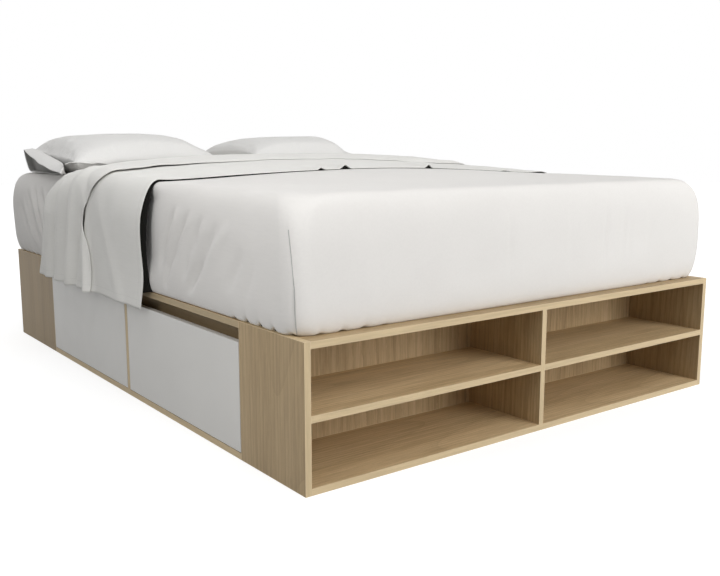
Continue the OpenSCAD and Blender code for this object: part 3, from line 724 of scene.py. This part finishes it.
sheetLook = dict(
    # the hem colour is a darker grey for the sheet's cut rim: painted shade
    base=(.842, .832, .797), hem=(.76, .752, .722), hems=((1, .022, .0011), (0, .022, .0011)),
    thick=.0014, hemZ=.2765, side=.018,   # hemZ: height of the hem; side: room under the drape
    slant=-.08,                    # how the foot-side edge runs aslant across the top
    # where its edges lie along the bed: on top by the distance from the middle line, on the
    # sides by height
    footTop=((0, -.244), (.648, -.244)),
    footSide=((.276, -.250), (.357, -.267), (.434, -.265), (.498, -.273), (.549, -.281),
              (.597, -.270), (.608, -.244)),
    backTop=((0, .050), (.35, .085), (.50, .085), (.596, .050), (.648, .012)),
    backSide=((.276, .092), (.356, .089), (.413, .105), (.497, .143), (.545, .115),
              (.581, .064), (.600, .025), (.608, .012)),
    foldTop=((0, .415), (.600, .412), (.648, .395)),
    foldSide=((.262, .600), (.320, .560), (.373, .532), (.441, .510), (.524, .482), (.580, .430),
              (.608, .395)),
    # how far the lower layer stands off the mattress and the upper one off the lower, by the
    # share of the way from the edge to the fold
    lift=((0, .0026), (.15, .008), (.30, .016), (.50, .0235), (1, .025)),
    upper=((0, .0008), (.12, .0065), (.5, .012), (1, .014)),
    upperSide=((0, .006), (.2, .010), (1, .014)),
    # by the place across: more room under the foot-side edge, the fold pressed flat beside
    # the left pillow's case, and a fuller upper layer to the right
    edgeRoom=((-.70, .0032), (-.45, .0030), (-.20, .0006), (0, 0)),
    press=((-.80, 1), (-.74, .68), (-.69, .34), (-.655, .30), (-.60, .58), (-.48, .88),
           (-.30, 1)),
    fuller=((-.50, 1), (-.20, .95), (.15, 1.05), (.45, 1.8), (.60, 1.9), (.66, 1.5), (.72, 1)),
    # the least room between the two layers, by height, and its share by the place across
    layerRoom=((.28, .0006), (.47, .0008), (.54, .0034), (.60, .0026), (.61, .0018)),
    roomShare=((-.45, 1), (-.20, .35), (.72, .35)),
    # how high the free edge stands open, by the place across
    openEdge=((-.70, .0055), (-.52, .0050), (-.42, .0026), (-.32, .0014), (-.20, .0004), (0, 0)),
    # small peaks of the foot-side edge on top: place across, half width, height, and the
    # share of the way to the fold in which they die out
    peaks=((-.180, .013, .0072, .10), (-.099, .020, .0128, .16), (.204, .016, .0125, .14),
           (.520, .030, .003, .2)),
    # upright folds of the drape: place along the bed above and below, width, height above
    # and below, and 1 where the upper layer alone has it
    folds=((.470, .480, .030, .006, .010, 0), (.395, .440, .018, -.008, -.018, 0),
           (.345, .385, .026, .006, .012, 0), (.285, .335, .018, -.007, -.008, 0),
           (.215, .272, .024, .010, .020, 0), (.130, .250, .016, .000, -.019, 0),
           (.140, .112, .018, .000, .024, 0), (.115, -.105, .020, -.010, -.003, 1),
           (.040, -.110, .030, .003, .005, 0), (-.090, -.070, .040, .002, .004, 0)),
    foldsHigh=.55, foldsLow=.28)


def shoulderPath():
    # the rounded shoulder from the flat top to the widest height: distance along it, x, z and
    # the outward normal
    inset, z, out, up = rollAt(np.linspace(math.pi / 2, 0, 400), True)
    x = bed["halfW"] - inset
    length = np.concatenate([[0], np.cumsum(np.hypot(np.diff(x), np.diff(z)))])
    return length, x, z, out, up


def acrossPath(columns, hemZ):
    # the bed's outline across it, from one hem over the top to the other, at even distances q
    # from the middle line: q, x, z, the outward normal, and how far down to the hem it reaches
    length, x, z, out, up = shoulderPath()
    reach = flatHalf + length[-1] + bed["midZ"] - hemZ
    q = np.linspace(-reach, reach, columns)[:, None]
    place = np.abs(q)
    down = np.clip(place - flatHalf, 0, length[-1])
    onTop = place < flatHalf
    px = np.where(onTop, place, np.interp(down, length, x))
    pz = np.where(onTop, bed["topZ"], np.interp(down, length, z))
    pz = pz - np.maximum(place - flatHalf - length[-1], 0)
    nx = np.where(onTop, 0, np.interp(down, length, out))
    nz = np.where(onTop, 1, np.interp(down, length, up))
    return q, px * np.sign(q), pz, nx * np.sign(q), nz, reach


def hangShare(q):
    # 0 where a sheet lies on top, 1 where it hangs
    return smooth(.61, .78, np.abs(q))


def sheetEdge(name, q, x, z):
    # place of an edge along the bed: its top table where the sheet lies, its side table where
    # it hangs, and a moving average so that the tables leave no corners
    place = np.where(np.abs(q) < flatHalf, table(sheetLook[name + "Top"], np.abs(q)),
                     table(sheetLook[name + "Side"], z))
    if name == "foot":
        place = place + sheetLook["slant"] * (x + flatHalf)
    width = 6
    kernel = np.hanning(2 * width + 3)[1:-1]
    kernel /= kernel.sum()
    padded = np.concatenate([np.repeat(place[:1], width), place[:, 0],
                             np.repeat(place[-1:], width)], None)
    return np.convolve(padded, kernel, "valid")[:, None]


def onBed(q, x, y, z, nx, nz, off):
    # a point of the bed's outline moved out by off, and up with the crown where it lies on top
    high = z + nz * off + rimAt(x, y, z) + crownAt(x, y) * (np.abs(q) < flatHalf)
    return np.stack([x + nx * off, y, high], -1)


def edgeRipples(q, share):
    # the peaks, height (1 - distance / half)^1.1 exp(-(share / run)^1.5), each running out
    # along the sheet, and one soft wave down the hanging edge
    total = np.zeros(np.broadcast_shapes(q.shape, share.shape))
    for place, half, height, run in sheetLook["peaks"]:
        distance = np.abs(q - place - .05 * share) / (half * (1 + 3 * share))
        peak = np.maximum(0, 1 - distance) ** 1.1
        total = total + height * peak * np.exp(-(share / run) ** 1.5)
    wave = .0035 * np.sin((np.abs(q) - .70) * 21) * np.exp(-(share / .25) ** 2)
    return total + wave * hangShare(q)


def lowLayer(q, share):
    # how far the lower layer stands off the mattress: lift on top, side where it hangs
    hang = hangShare(q)
    lift = table(sheetLook["lift"], share) + table(sheetLook["edgeRoom"], q) * (1 - share) ** 6
    pressed = 1 - (1 - table(sheetLook["press"], q)) * smooth(.55, 1, share)
    return (pressed * (lift * (1 - hang) + sheetLook["side"] * hang * (1 - .25 * share))
            + edgeRipples(q, share))


def hangingFolds(q, y, z, onlyUpper):
    # each fold is a bell across its line, height exp(-((y - centre) / width)^2), whose place
    # moves from foldsHigh down to foldsLow
    down = np.clip((sheetLook["foldsHigh"] - z) / (sheetLook["foldsHigh"] - sheetLook["foldsLow"]),
                   -.2, 1.05)
    total = np.zeros(y.shape)
    for yHigh, yLow, width, heightHigh, heightLow, upperOnly in sheetLook["folds"]:
        if upperOnly == onlyUpper:
            centre = yHigh + (yLow - yHigh) * down
            height = heightHigh + (heightLow - heightHigh) * np.clip(down, 0, 1)
            total += height * np.exp(-((y - centre) / width) ** 2)
    return smooth(.60, .76, np.abs(q)) * total


def topSheetPiece(columns=330, lower=60, turn=11, upper=60):
    # the sheet as a grid: across by q, along by the cloth's own path, which runs from the
    # foot-side edge to the fold, round a half circle, and back to the free edge
    look = sheetLook
    q, x, z, nx, nz, reach = acrossPath(columns, look["hemZ"])
    hang = hangShare(q)
    footY, backY, foldY = (sheetEdge(edge, q, x, z) for edge in ("foot", "back", "fold"))
    share = np.linspace(0, 1, lower)[None, :] ** 1.15
    angle = np.linspace(0, math.pi, turn)[None, 1:-1]
    way = 1 - np.linspace(1, 0, upper)[None, :] ** 1.35
    low = lowLayer(q, share)
    press, fuller = table(look["press"], q), table(look["fuller"], q)
    radius = press * (table(look["upper"], 1) * fuller * (1 - hang)
                      + table(look["upperSide"], 1) * hang) / 2
    lowY = footY + share * (foldY - radius - footY)
    turnY = foldY - radius + radius * np.sin(angle)
    turnOff = low[:, -1:] + radius * (1 - np.cos(angle))
    upperY = foldY - radius + way * (backY - foldY + radius)
    under = np.stack([np.interp(y, rowY, row) for y, rowY, row in zip(upperY, lowY, low)])
    back = 1 - way
    pressed = 1 - (1 - press) * smooth(.55, 1, back)
    edgeLift = table(look["openEdge"], q) * np.exp(-back * (foldY - radius - backY) / .05)
    upperOff = under + pressed * ((table(look["upper"], back) * fuller + edgeLift) * (1 - hang)
                                  + table(look["upperSide"], back) * hang)
    # folds of the hanging part; the upper layer stays clear of the lower one
    bothFold, upperFold = (hangingFolds(q, upperY, z, only) for only in (0, 1))
    low = np.maximum(low + hangingFolds(q, lowY, z, 0), .003)
    turnOff = np.maximum(turnOff + hangingFolds(q, turnY, z, 0), .003)
    room = table(look["layerRoom"], z) * table(look["roomShare"], q)
    upperOff = np.maximum(upperOff + bothFold + upperFold,
                          np.maximum(under + bothFold, .003) + room)
    y = np.concatenate([lowY, turnY, upperY], 1)
    off = np.concatenate([low, turnOff, upperOff], 1)
    points = onBed(q, x, y, z, nx, nz, off)
    normal = np.stack([np.broadcast_to(nx, y.shape), np.zeros(y.shape),
                       np.broadcast_to(nz, y.shape)], -1)
    free = smooth(0, .05, np.abs(y - footY))
    points = points + normal * (.0012 * softNoise(points, .12, 21) * free)[..., None]
    step = np.linalg.norm(np.diff(points, axis=1), axis=2)
    v = np.concatenate([np.zeros((columns, 1)), np.cumsum(step, 1)], 1)
    v = v / v[:, -1:] * v[columns // 2, -1]
    uv = np.stack([np.broadcast_to(q + reach, v.shape), v], -1)
    count, rows = y.shape
    piece = meshPiece("topSheet", points, [gridFaces(count, rows)], uv, outward=False)
    return facingUp(piece, count // 2 * (rows - 1) + 5), reach


# the near-black fill painted where the gap under the top sheet holds only shade
shadowFillLook = dict(dark=(.006, .006, .005), light=(.014, .013, .011), hemZ=.3205, setBack=.0035,
                   share=.5, room=.0014)


def shadowFillMaterial(name):
    # a near-black fill, painted shade for the gap under the top sheet, with a faint brushed weave
    s = Shader(name, Roughness=.95, Specular_IOR_Level=.1, Sheen_Weight=.05)
    nap = s.noise(s.objectPoints(scale=(1, .2, 1)), 420, 3)
    s.plug(s.ramp(nap, [(.3, shadowFillLook["dark"]), (.7, shadowFillLook["light"])]), "Base Color")
    s.plug(s.bump(nap, .0003, .5), "Normal")
    return s.material


def shadowFillPiece(columns=300, steps=26):
    # a near-black fill, painted shadow, in the space between mattress and sheet from just behind
    # the sheet's foot-side edge: its upper skin lies under the sheet, its lower skin on the
    # mattress, and at the bottom it follows the mattress's own roll
    look = shadowFillLook
    q, x, z, nx, nz, reach = acrossPath(columns, look["hemZ"])
    footY, foldY = (sheetEdge(edge, q, x, z) for edge in ("foot", "fold"))
    share = np.linspace(0, look["share"], steps)[None, :]
    y = footY + look["setBack"] + share * (foldY - footY)
    top = lowLayer(q, share) + hangingFolds(q, y, z, 0)
    top = np.maximum(top - sheetLook["thick"] - look["room"], .0012)
    outerSkin = onBed(q, x, y, z, nx, nz, top)
    innerSkin = onBed(q, x, y, z, nx, nz, np.full(y.shape, .0006))
    innerSkin[..., 0] -= np.sign(x) * np.where(z < bed["midZ"], insetAt(z), 0)
    loops = np.concatenate([outerSkin, innerSkin[:, ::-1]], 1)
    around = loops.shape[1]
    j = np.arange(around // 2 - 1)
    cap = np.stack([j, j + 1, around - 2 - j, around - 1 - j], 1)
    return meshPiece("shadowFill", loops,
                     [gridFaces(columns, around, closedColumns=True), cap[:, ::-1],
                      cap + (columns - 1) * around])


# the pillows; their place along the bed and their depth are the pillow nodes'

pillowLow, pillowHigh = (np.round(corner, 4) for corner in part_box("pillow_right"))
pillowLook = dict(
    base=(.748, .740, .722), halfL=.322, halfD=(pillowHigh[1] - pillowLow[1]) / 2, centreX=.334,
    centreY=(pillowHigh[1] + pillowLow[1]) / 2,
    seam=.032, pull=.06, nearPower=2.3, farPower=4.0, swell=.0095, cornerEase=.38,
    clearance=.0008, halfGap=.002, cap=.009, pressure=4.0, voxel=.006, frames=20,
    # height of the top over the mattress along the pillow, from its inner to its outer end
    ridge=dict(left=((-1, .046), (-.93, .062), (-.85, .078), (-.59, .103), (-.26, .119),
                     (.04, .126), (.40, .129), (.71, .127), (.84, .119), (.92, .103), (1, .070)),
               right=((-1, .072), (-.957, .092), (-.68, .108), (-.10, .117), (.22, .122),
                      (.40, .109), (.52, .088), (.64, .071), (.78, .060), (1, .056))),
    # gathers at the stitched end, stitchX from the middle line: place along the bed, run
    # inwards and along, width, depth
    stitchX=.662,
    wrinkles=((.515, .085, .035, .012, .0022), (.555, .065, .010, .010, .0018),
              (.600, .100, .020, .014, .0030), (.655, .060, -.010, .011, .0020),
              (.710, .090, -.020, .014, .0025), (.790, .070, -.030, .012, .0020)),
    # how far the near corner of the inner and the outer end draws back
    drawBack=dict(left=(.110, 0), right=(-.004, .118)),
    # rise of the seam at the outer end, where the case stands open, from near to far
    endRise=((-1, .008), (-.85, .008), (-.56, .009), (-.27, .015), (.066, .027), (.44, .042),
             (.85, .053), (1, .054)))


def mattressTop(x, y):
    # height that a pillow rests on: top edge + crown + rim, and the clearance over them
    return bed["topZ"] + crownAt(x, y) + rimAt(x, y, bed["topZ"]) + pillowLook["clearance"]


def pillowShape(label, side, columns=76, rows=56):
    # a pillow over its grid (u, v) in -1..1, u = 1 at its outer end. Its seam stands over the
    # mattress by seam + endRise; its top is seam + (ridge(u) - seam) c(v), with c(v) =
    # (1 - |v|^near)^0.62 on the foot side and (1 - v^far)^0.5 on the head side, eased at the
    # near corners; its underside closes the space down to the mattress
    look = pillowLook
    quarter = math.pi / 2 * .92      # the grid is closer towards its edges: sin over this angle
    u, v = (np.sin(np.linspace(-1, 1, count) * quarter) / math.sin(quarter)
            for count in (columns, rows))
    u, v = np.meshgrid(u, v, indexing="ij")
    inner, outer = look["drawBack"][label]
    ends = (inner * smooth(.2, -1, u) - outer * smooth(.0, 1, u)) * smooth(1.0, -1.2, v)
    along = look["halfL"] * u * (1 - look["pull"] * (1 - v * v) * u * u * (u < 0)) + ends
    x = side * (look["centreX"] + along)
    y = look["centreY"] + look["halfD"] * v * (1 - look["pull"] * (1 - u * u) * v * v)
    rest = mattressTop(x, y)
    rise = table(look["endRise"], v) * smooth(.30, 1, u)
    seam = look["seam"] * (1 - .35 * np.abs(u * v) ** 6) + rise
    cross = np.where(v < 0, np.maximum(0, 1 - np.abs(v) ** look["nearPower"]) ** .62,
                     np.maximum(0, 1 - np.abs(v) ** look["farPower"]) ** .5)
    cross = cross * (1 - look["cornerEase"] * smooth(.45, 1, np.abs(u)) * smooth(.3, -.8, v))
    ridge = np.maximum(table(look["ridge"][label], u) - look["swell"], seam)
    top = rest + seam + (ridge - seam) * cross
    closed = np.maximum(0, (1 - np.abs(u) ** 5) * (1 - np.abs(v) ** 5)) ** .55
    under = rest + seam * (1 - np.minimum(1, 1.3 * closed))
    return np.stack([x, y, top], -1), np.stack([x, y, under], -1)


def pillowPiece(label, side):
    # the top and the underside share the points of their rim
    top, under = pillowShape(label, side)
    columns, rows = top.shape[:2]
    inner = np.zeros((columns, rows), bool)
    inner[1:-1, 1:-1] = True
    lowIndex = np.arange(columns * rows).reshape(columns, rows)
    lowIndex[inner] = columns * rows + np.arange(inner.sum())
    topFaces = gridFaces(columns, rows)
    lowFaces = lowIndex.ravel()[topFaces][:, ::-1]
    return meshPiece(label + "Pillow", np.concatenate([top.reshape(-1, 3), under[inner]]),
                     [topFaces, lowFaces])


def swell(piece):
    # remeshes the piece evenly, lets its cloth swell under pressure, and caps each move
    look = pillowLook
    bpy.context.view_layer.objects.active = piece
    remesh = piece.modifiers.new("even", "REMESH")
    remesh.mode, remesh.voxel_size = "VOXEL", look["voxel"]
    applyModifiers(piece)
    before = coordsOf(piece.data)
    cloth = piece.modifiers.new("cloth", "CLOTH")
    cloth.settings.quality = 6
    cloth.settings.mass = .2
    cloth.settings.tension_stiffness = 8
    cloth.settings.compression_stiffness = 6
    cloth.settings.shear_stiffness = 4
    cloth.settings.bending_stiffness = .25
    cloth.settings.use_pressure = True
    cloth.settings.uniform_pressure_force = look["pressure"]
    cloth.settings.effector_weights.gravity = 0
    cloth.point_cache.frame_start, cloth.point_cache.frame_end = 1, look["frames"]
    scene = bpy.context.scene
    for number in range(1, look["frames"] + 1):
        scene.frame_set(number)
    depsgraph = bpy.context.evaluated_depsgraph_get()
    after = coordsOf(piece.evaluated_get(depsgraph).data)
    piece.modifiers.remove(cloth)
    scene.frame_set(1)
    move = after - before
    size = np.linalg.norm(move, axis=1)[:, None]
    giveCoords(piece.data, before + move * np.minimum(1, look["cap"] / np.maximum(size, 1e-9)))


def pillowWrinkles(piece, side):
    # short gathers that run from the stitched end of the case onto the pillow
    stitchX = pillowLook["stitchX"]
    points = coordsOf(piece.data)
    flat = points * (side, 1, 0)
    for y, dx, dy, width, depth in pillowLook["wrinkles"]:
        points[:, 2] += crease(flat, (stitchX, y, 0), (stitchX - dx, y + dy, 0), width, depth)
    giveCoords(piece.data, points)


def restOnBed(piece, side):
    # nothing of a pillow sinks into the mattress or crosses the middle line
    points = coordsOf(piece.data)
    points[:, 2] = np.maximum(points[:, 2], mattressTop(points[:, 0], points[:, 1]))
    points[:, 0] = side * np.maximum(side * points[:, 0], pillowLook["halfGap"])
    giveCoords(piece.data, points)


caseLook = dict(
    # the grey of the case's inside is painted shade
    inside=(.340, .336, .322), hems=((0, .010, .0011),), thick=.0016, depth=.052,
    # the open end of the pillowcase, as (x from the bed's middle, y, z): its free edge over
    # the top from the far corner to the near one, and back along the underside
    mouthTop=((.680, .880, .683), (.689, .826, .676), (.692, .775, .665), (.692, .730, .654),
              (.700, .650, .640), (.706, .557, .628), (.706, .494, .6195), (.706, .442, .6135),
              (.707, .402, .6115)),
    mouthUnder=((.707, .402, .6115), (.698, .415, .6085), (.684, .460, .6062),
                (.676, .560, .6060), (.674, .700, .6060), (.675, .810, .6058),
                (.674, .846, .6075), (.674, .868, .632), (.678, .879, .662),
                (.680, .880, .683)),
    rootTop=((.648, .884, .688), (.650, .830, .684), (.650, .773, .677), (.650, .682, .662),
             (.650, .610, .651), (.656, .545, .643), (.670, .485, .6385), (.684, .440, .6355),
             (.692, .415, .632)),
    rootUnder=((.692, .415, .632), (.688, .425, .616), (.668, .465, .6075), (.646, .540, .6070),
               (.638, .675, .6070), (.638, .800, .6070), (.640, .845, .6100),
               (.642, .872, .645), (.648, .884, .688)),
    bulge=.003, ripple=.0011, ripples=7,
    liningIn=.0024, liningFrom=.95, liningTo=.42,
    # the loose seam flange along the foot side, from the case end inwards: (x, z) of its edge
    lip=((.682, .6385), (.676, .641), (.666, .6445), (.630, .6436), (.598, .6395), (.575, .6425),
         (.552, .6390), (.520, .6370)), lipY=.424, lipWidth=.034)


def alongPolyline(rows, count):
    # points spaced evenly along a polyline, smoothed by a moving average
    rows = np.array(rows)
    length = np.concatenate([[0], np.cumsum(np.linalg.norm(np.diff(rows, axis=0), axis=1))])
    fine = np.linspace(0, length[-1], 8 * count)
    dense = np.stack([np.interp(fine, length, rows[:, k]) for k in range(3)], 1)
    half = 3 * count // 5
    padded = np.concatenate([2 * dense[:1] - dense[half:0:-1], dense,
                             2 * dense[-1:] - dense[-2:-half - 2:-1]])
    kernel = np.hanning(2 * half + 1)
    kernel /= kernel.sum()
    soft = np.stack([np.convolve(padded[:, k], kernel, "valid") for k in range(3)], 1)
    return soft[np.linspace(0, len(soft) - 1, count).astype(int)]


def caseShift(side, y):
    # the case follows the corner of its pillow that draws back: outer (3t^2 - 2t^3) towards
    # the foot side
    outer = pillowLook["drawBack"]["left" if side < 0 else "right"][1]
    return outer * smooth(1.0, -1.2, (y - pillowLook["centreY"]) / pillowLook["halfD"])


def caseGrid(side, s, around=120):
    # blends the loop on the pillow into the loop of the open mouth: root + s (mouth - root),
    # with a slight outward bulge sin(pi s) and ripples that grow towards the mouth
    half = around // 2
    mouth, root = (np.concatenate([alongPolyline(caseLook[loop + "Top"], half),
                                   alongPolyline(caseLook[loop + "Under"], half + 1)[1:-1]])
                   for loop in ("mouth", "root"))
    s = np.asarray(s)[:, None, None]
    grid = root[None] + s * (mouth - root)[None]
    turn = np.linspace(0, 2 * math.pi, len(mouth))[None, :]
    grid[..., 2] += (caseLook["bulge"] * np.sin(math.pi * np.clip(s[..., 0], 0, 1))
                     * np.maximum(np.sin(turn), 0))
    grid[..., 2] += caseLook["ripple"] * np.sin(caseLook["ripples"] * turn) * s[..., 0]
    grid[..., 0] = side * (grid[..., 0] - caseShift(side, grid[..., 1]))
    return grid, mouth


def caseEndPiece(label, side, along=18):
    # the stiff open end of the case, from the pillow (s = 0) to the mouth (s = 1)
    s = np.linspace(0, 1, along)
    grid, mouth = caseGrid(side, s)
    around = len(mouth)
    v = np.linspace(0, np.linalg.norm(np.diff(mouth, axis=0), axis=1).sum(), around)
    uv = np.stack(np.broadcast_arrays(s[:, None] * caseLook["depth"], v[None, :]), -1)
    piece = meshPiece(label + "CaseEnd", grid, [gridFaces(along, around, closedColumns=True)], uv,
                      outward=False)
    return facingUp(piece, around // 4)


def caseShadeLiningPiece(label, side, along=12, rings=5):
    # the inside of the open case, in a grey cloth that paints its shade: the case's own surface
    # moved in, and closed by a bottom that shrinks to the middle of the loop
    grid = caseGrid(side, np.linspace(caseLook["liningFrom"], caseLook["liningTo"], along))[0]
    middle = grid.mean(1, keepdims=True)
    away = grid - middle
    grid = middle + away * (1 - caseLook["liningIn"] / np.linalg.norm(away, axis=2)[..., None])
    share = np.linspace(1, 0, rings + 1)[1:-1, None, None]
    bottom = middle[-1:] + share * (grid[-1:] - middle[-1:])
    loops = np.concatenate([grid, bottom])
    count, around = loops.shape[:2]
    j = np.arange(around)
    fan = np.stack([np.full(around, count * around), (count - 1) * around + j,
                    (count - 1) * around + (j + 1) % around], 1)
    return meshPiece(label + "CaseShadeLining", np.concatenate([loops.reshape(-1, 3), middle[-1]]),
                     [gridFaces(count, around, closedColumns=True), fan], outward=False)


def caseLipPiece(label, side, columns=70, rows=9):
    # a narrow strip: its edge follows the lip table, its root lies in the pillow's lower side,
    # lipWidth behind it and a little lower, with a low arch sin(pi s) between
    rim = alongPolyline([(x, z, 0) for x, z in caseLook["lip"]], columns)
    s = np.linspace(0, 1, rows)[None, :]
    x = rim[:, :1] - .010 * (1 - s)
    y = caseLook["lipY"] + caseLook["lipWidth"] * (1 - s) + .006 * np.abs(rim[:, :1] - .60) / .08
    z = rim[:, 1:2] - .0035 * (1 - s) + .0016 * np.sin(math.pi * s)
    grid = np.stack([side * (x - caseShift(side, y)), y, z], -1)
    uv = np.stack(np.broadcast_arrays(rim[:, :1], s * caseLook["lipWidth"]), -1)
    piece = meshPiece(label + "CaseLip", grid, [gridFaces(columns, rows)], uv, outward=False)
    return facingUp(piece, rows * columns // 2)


# making the soft pieces, all of which ride on the frame

def dress(piece, material):
    # what every soft piece gets: its material and the body that it rides on
    giveMaterial(piece, material)
    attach(piece, "frame")


def thicken(piece, thickness, offset):
    # gives a sheet its thickness, to both sides with offset 0 and inwards with -1
    shell = piece.modifiers.new("cloth", "SOLIDIFY")
    shell.thickness, shell.offset = thickness, offset
    return shell


fineWeave, coarseWeave = clothLook["fineWeave"], clothLook["coarseWeave"]
mattressCloth = clothMaterial("mattressCloth", mattressLook["base"])
sheetCloth = clothMaterial("sheetCloth", sheetLook["base"], fineWeave, hems=sheetLook["hems"])
rimShadeCloth = clothMaterial("rimShadeCloth", sheetLook["hem"], fineWeave, "Object")
seamShadeThread = clothMaterial("seamShadeThread", mattressLook["threadShade"], coarseWeave, "Object")
pillowCloth = clothMaterial("pillowCloth", pillowLook["base"], fineWeave, "Object")
caseCloth = clothMaterial("caseCloth", pillowLook["base"], fineWeave, hems=caseLook["hems"])
caseShadeCloth = clothMaterial("caseShadeCloth", caseLook["inside"], coords="Object")
shadowFillCloth = shadowFillMaterial("shadowFillCloth")

mattress = mattressPiece()
dress(mattress, mattressCloth)
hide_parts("mattress")
for label, sx, sy in (("LeftFoot", -1, -1), ("RightFoot", 1, -1), ("LeftHead", -1, 1),
                      ("RightHead", 1, 1)):
    dress(cornerSeam("cornerSeam" + label, sx, sy), seamShadeThread)
print("mattress done")

for label, side in (("left", -1), ("right", 1)):
    pillow = pillowPiece(label, side)
    swell(pillow)
    pillowWrinkles(pillow, side)
    restOnBed(pillow, side)
    finer = pillow.modifiers.new("smooth", "SUBSURF")
    finer.levels = finer.render_levels = 1
    dress(pillow, pillowCloth)
    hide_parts("pillow_" + label)
    caseEnd = caseEndPiece(label, side)
    thicken(caseEnd, caseLook["thick"], 0)
    dress(caseEnd, caseCloth)
    caseLip = caseLipPiece(label, side)
    thicken(caseLip, caseLook["thick"], 0)
    dress(caseLip, pillowCloth)
    # the grey inside of the case: painted shade
    caseShadeLining = caseShadeLiningPiece(label, side)
    dress(caseShadeLining, caseShadeCloth)
print("pillows done")

topSheet, sheetReach = topSheetPiece()
# the rim of the thickened sheet takes the second material, a darker cloth that paints the shade at
# its cut edge
thicken(topSheet, sheetLook["thick"], -1).material_offset_rim = 1
dress(topSheet, sheetCloth)
topSheet.data.materials.append(rimShadeCloth)      # the rim takes the second material
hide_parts("top_sheet")
# the painted shadow in the gap under the sheet's foot-side edge
shadowFill = shadowFillPiece()
dress(shadowFill, shadowFillCloth)
print("top sheet done")


floorLook = dict(half=14.0, dark=(.37, .37, .367), light=(.39, .39, .387),
                 glowNear=.71, glowFar=.92, nearReach=1.0, farReach=2.6)


def floorPiece():
    # a level square; what the camera sees of it glows, glowNear within nearReach of the bed's
    # middle and glowFar past farReach, so that it looks white and keeps the bed's shadow
    look = floorLook
    x, y = np.meshgrid(*2 * [np.linspace(-look["half"], look["half"], 3)], indexing="ij")
    piece = meshPiece("floor", np.stack([x, y, np.zeros(x.shape)], -1), [gridFaces(3, 3)],
                      outward=False)
    facingUp(piece, 0)
    s = Shader("floorPaint", Roughness=.9, Emission_Color=(1, 1, 1, 1))
    clouds = s.noise(s.objectPoints(), 1.2, 2)
    s.plug(s.ramp(clouds, [(.3, look["dark"]), (.7, look["light"])]), "Base Color")
    rays = s.node("LightPath").outputs
    seen = s.math("MAXIMUM", s.math("MAXIMUM", rays["Is Camera Ray"], rays["Is Glossy Ray"]),
                  rays["Is Transmission Ray"])
    away = s.node("VectorMath", {0: s.node("TexCoord").outputs["Object"]}, operation="LENGTH")
    glow = s.spread(away.outputs["Value"], look["nearReach"], look["farReach"],
                    look["glowNear"], look["glowFar"])
    s.plug(s.math("MULTIPLY", seen, glow), "Emission Strength")
    giveMaterial(piece, s.material)


# a soft sun, a large lamp overhead, boxes in front and behind, and a small lamp beside the left
# foot corner
lampLook = dict(
    studioSun=dict(kind="SUN", place=(-.2, -3.7, 4.1), aim=(0, 0, .3), power=1.2, size=.8),
    overhead=dict(kind="AREA", place=(-.55, .2, 3.6), aim=(-.1, .1, 0), power=37.0, size=3.0),
    frontBox=dict(kind="AREA", place=(1.5, -4.3, 1.5), aim=(.4, -1, .35), power=78.0, size=2.4),
    footFill=dict(kind="AREA", place=(-1.75, -1.05, 1.00), aim=(-.7, -.6, .40), power=6.3,
                  size=.7),
    rearBox=dict(kind="AREA", place=(-2.0, 3.7, 2.1), aim=(-.3, .8, .4), power=19.0, size=2.2))
worldLook = dict(ambient=.12, seen=1.0)      # what lights the bed, and what the camera sees


def lamp(name, kind, place, aim, power, size):
    # size is a disk's diameter in metres, or the sun's angle in radians
    data = bpy.data.lights.new(name, kind)
    data.energy = power
    if kind == "AREA":
        data.shape, data.size = "DISK", size
    else:
        data.angle = size
    made = bpy.data.objects.new(name, data)
    made.location = place
    made.rotation_euler = Vector(np.array(aim) - np.array(place)).to_track_quat("-Z", "Y").to_euler()
    made.visible_camera = False
    bpy.context.scene.collection.objects.link(made)


def studioWorld():
    # lights the bed at the ambient strength and looks white to the camera and in reflections
    world = bpy.data.worlds.new("studio")
    bpy.context.scene.world = world
    world.use_nodes = True
    tree = world.node_tree
    background = tree.nodes["Background"]
    background.inputs["Color"].default_value = (1, 1, 1, 1)
    rays = tree.nodes.new("ShaderNodeLightPath")
    seen = tree.nodes.new("ShaderNodeMath")
    seen.operation = "MAXIMUM"
    tree.links.new(rays.outputs["Is Camera Ray"], seen.inputs[0])
    tree.links.new(rays.outputs["Is Glossy Ray"], seen.inputs[1])
    strength = tree.nodes.new("ShaderNodeMapRange")
    tree.links.new(seen.outputs[0], strength.inputs["Value"])
    strength.inputs["To Min"].default_value = worldLook["ambient"]
    strength.inputs["To Max"].default_value = worldLook["seen"]
    tree.links.new(strength.outputs[0], background.inputs["Strength"])


cameraLook = dict(lens=42.817, sensor=36, place=(-1.58213, -2.33783, .69207), tilt=80.672,
                  turn=-36.855)


def photoCamera():
    # the photograph's viewpoint: tilt from straight down, turn about the vertical, in degrees
    look = cameraLook
    data = bpy.data.cameras.new("camera")
    data.lens, data.sensor_width = look["lens"], look["sensor"]
    camera = bpy.data.objects.new("camera", data)
    camera.location = look["place"]
    camera.rotation_euler = (math.radians(look["tilt"]), 0, math.radians(look["turn"]))
    bpy.context.scene.collection.objects.link(camera)
    bpy.context.scene.camera = camera


floorPiece()
for name, look in lampLook.items():
    lamp(name, **look)
studioWorld()
photoCamera()
bpy.context.scene.view_settings.view_transform = "Standard"
print("floor, lamps and camera done")
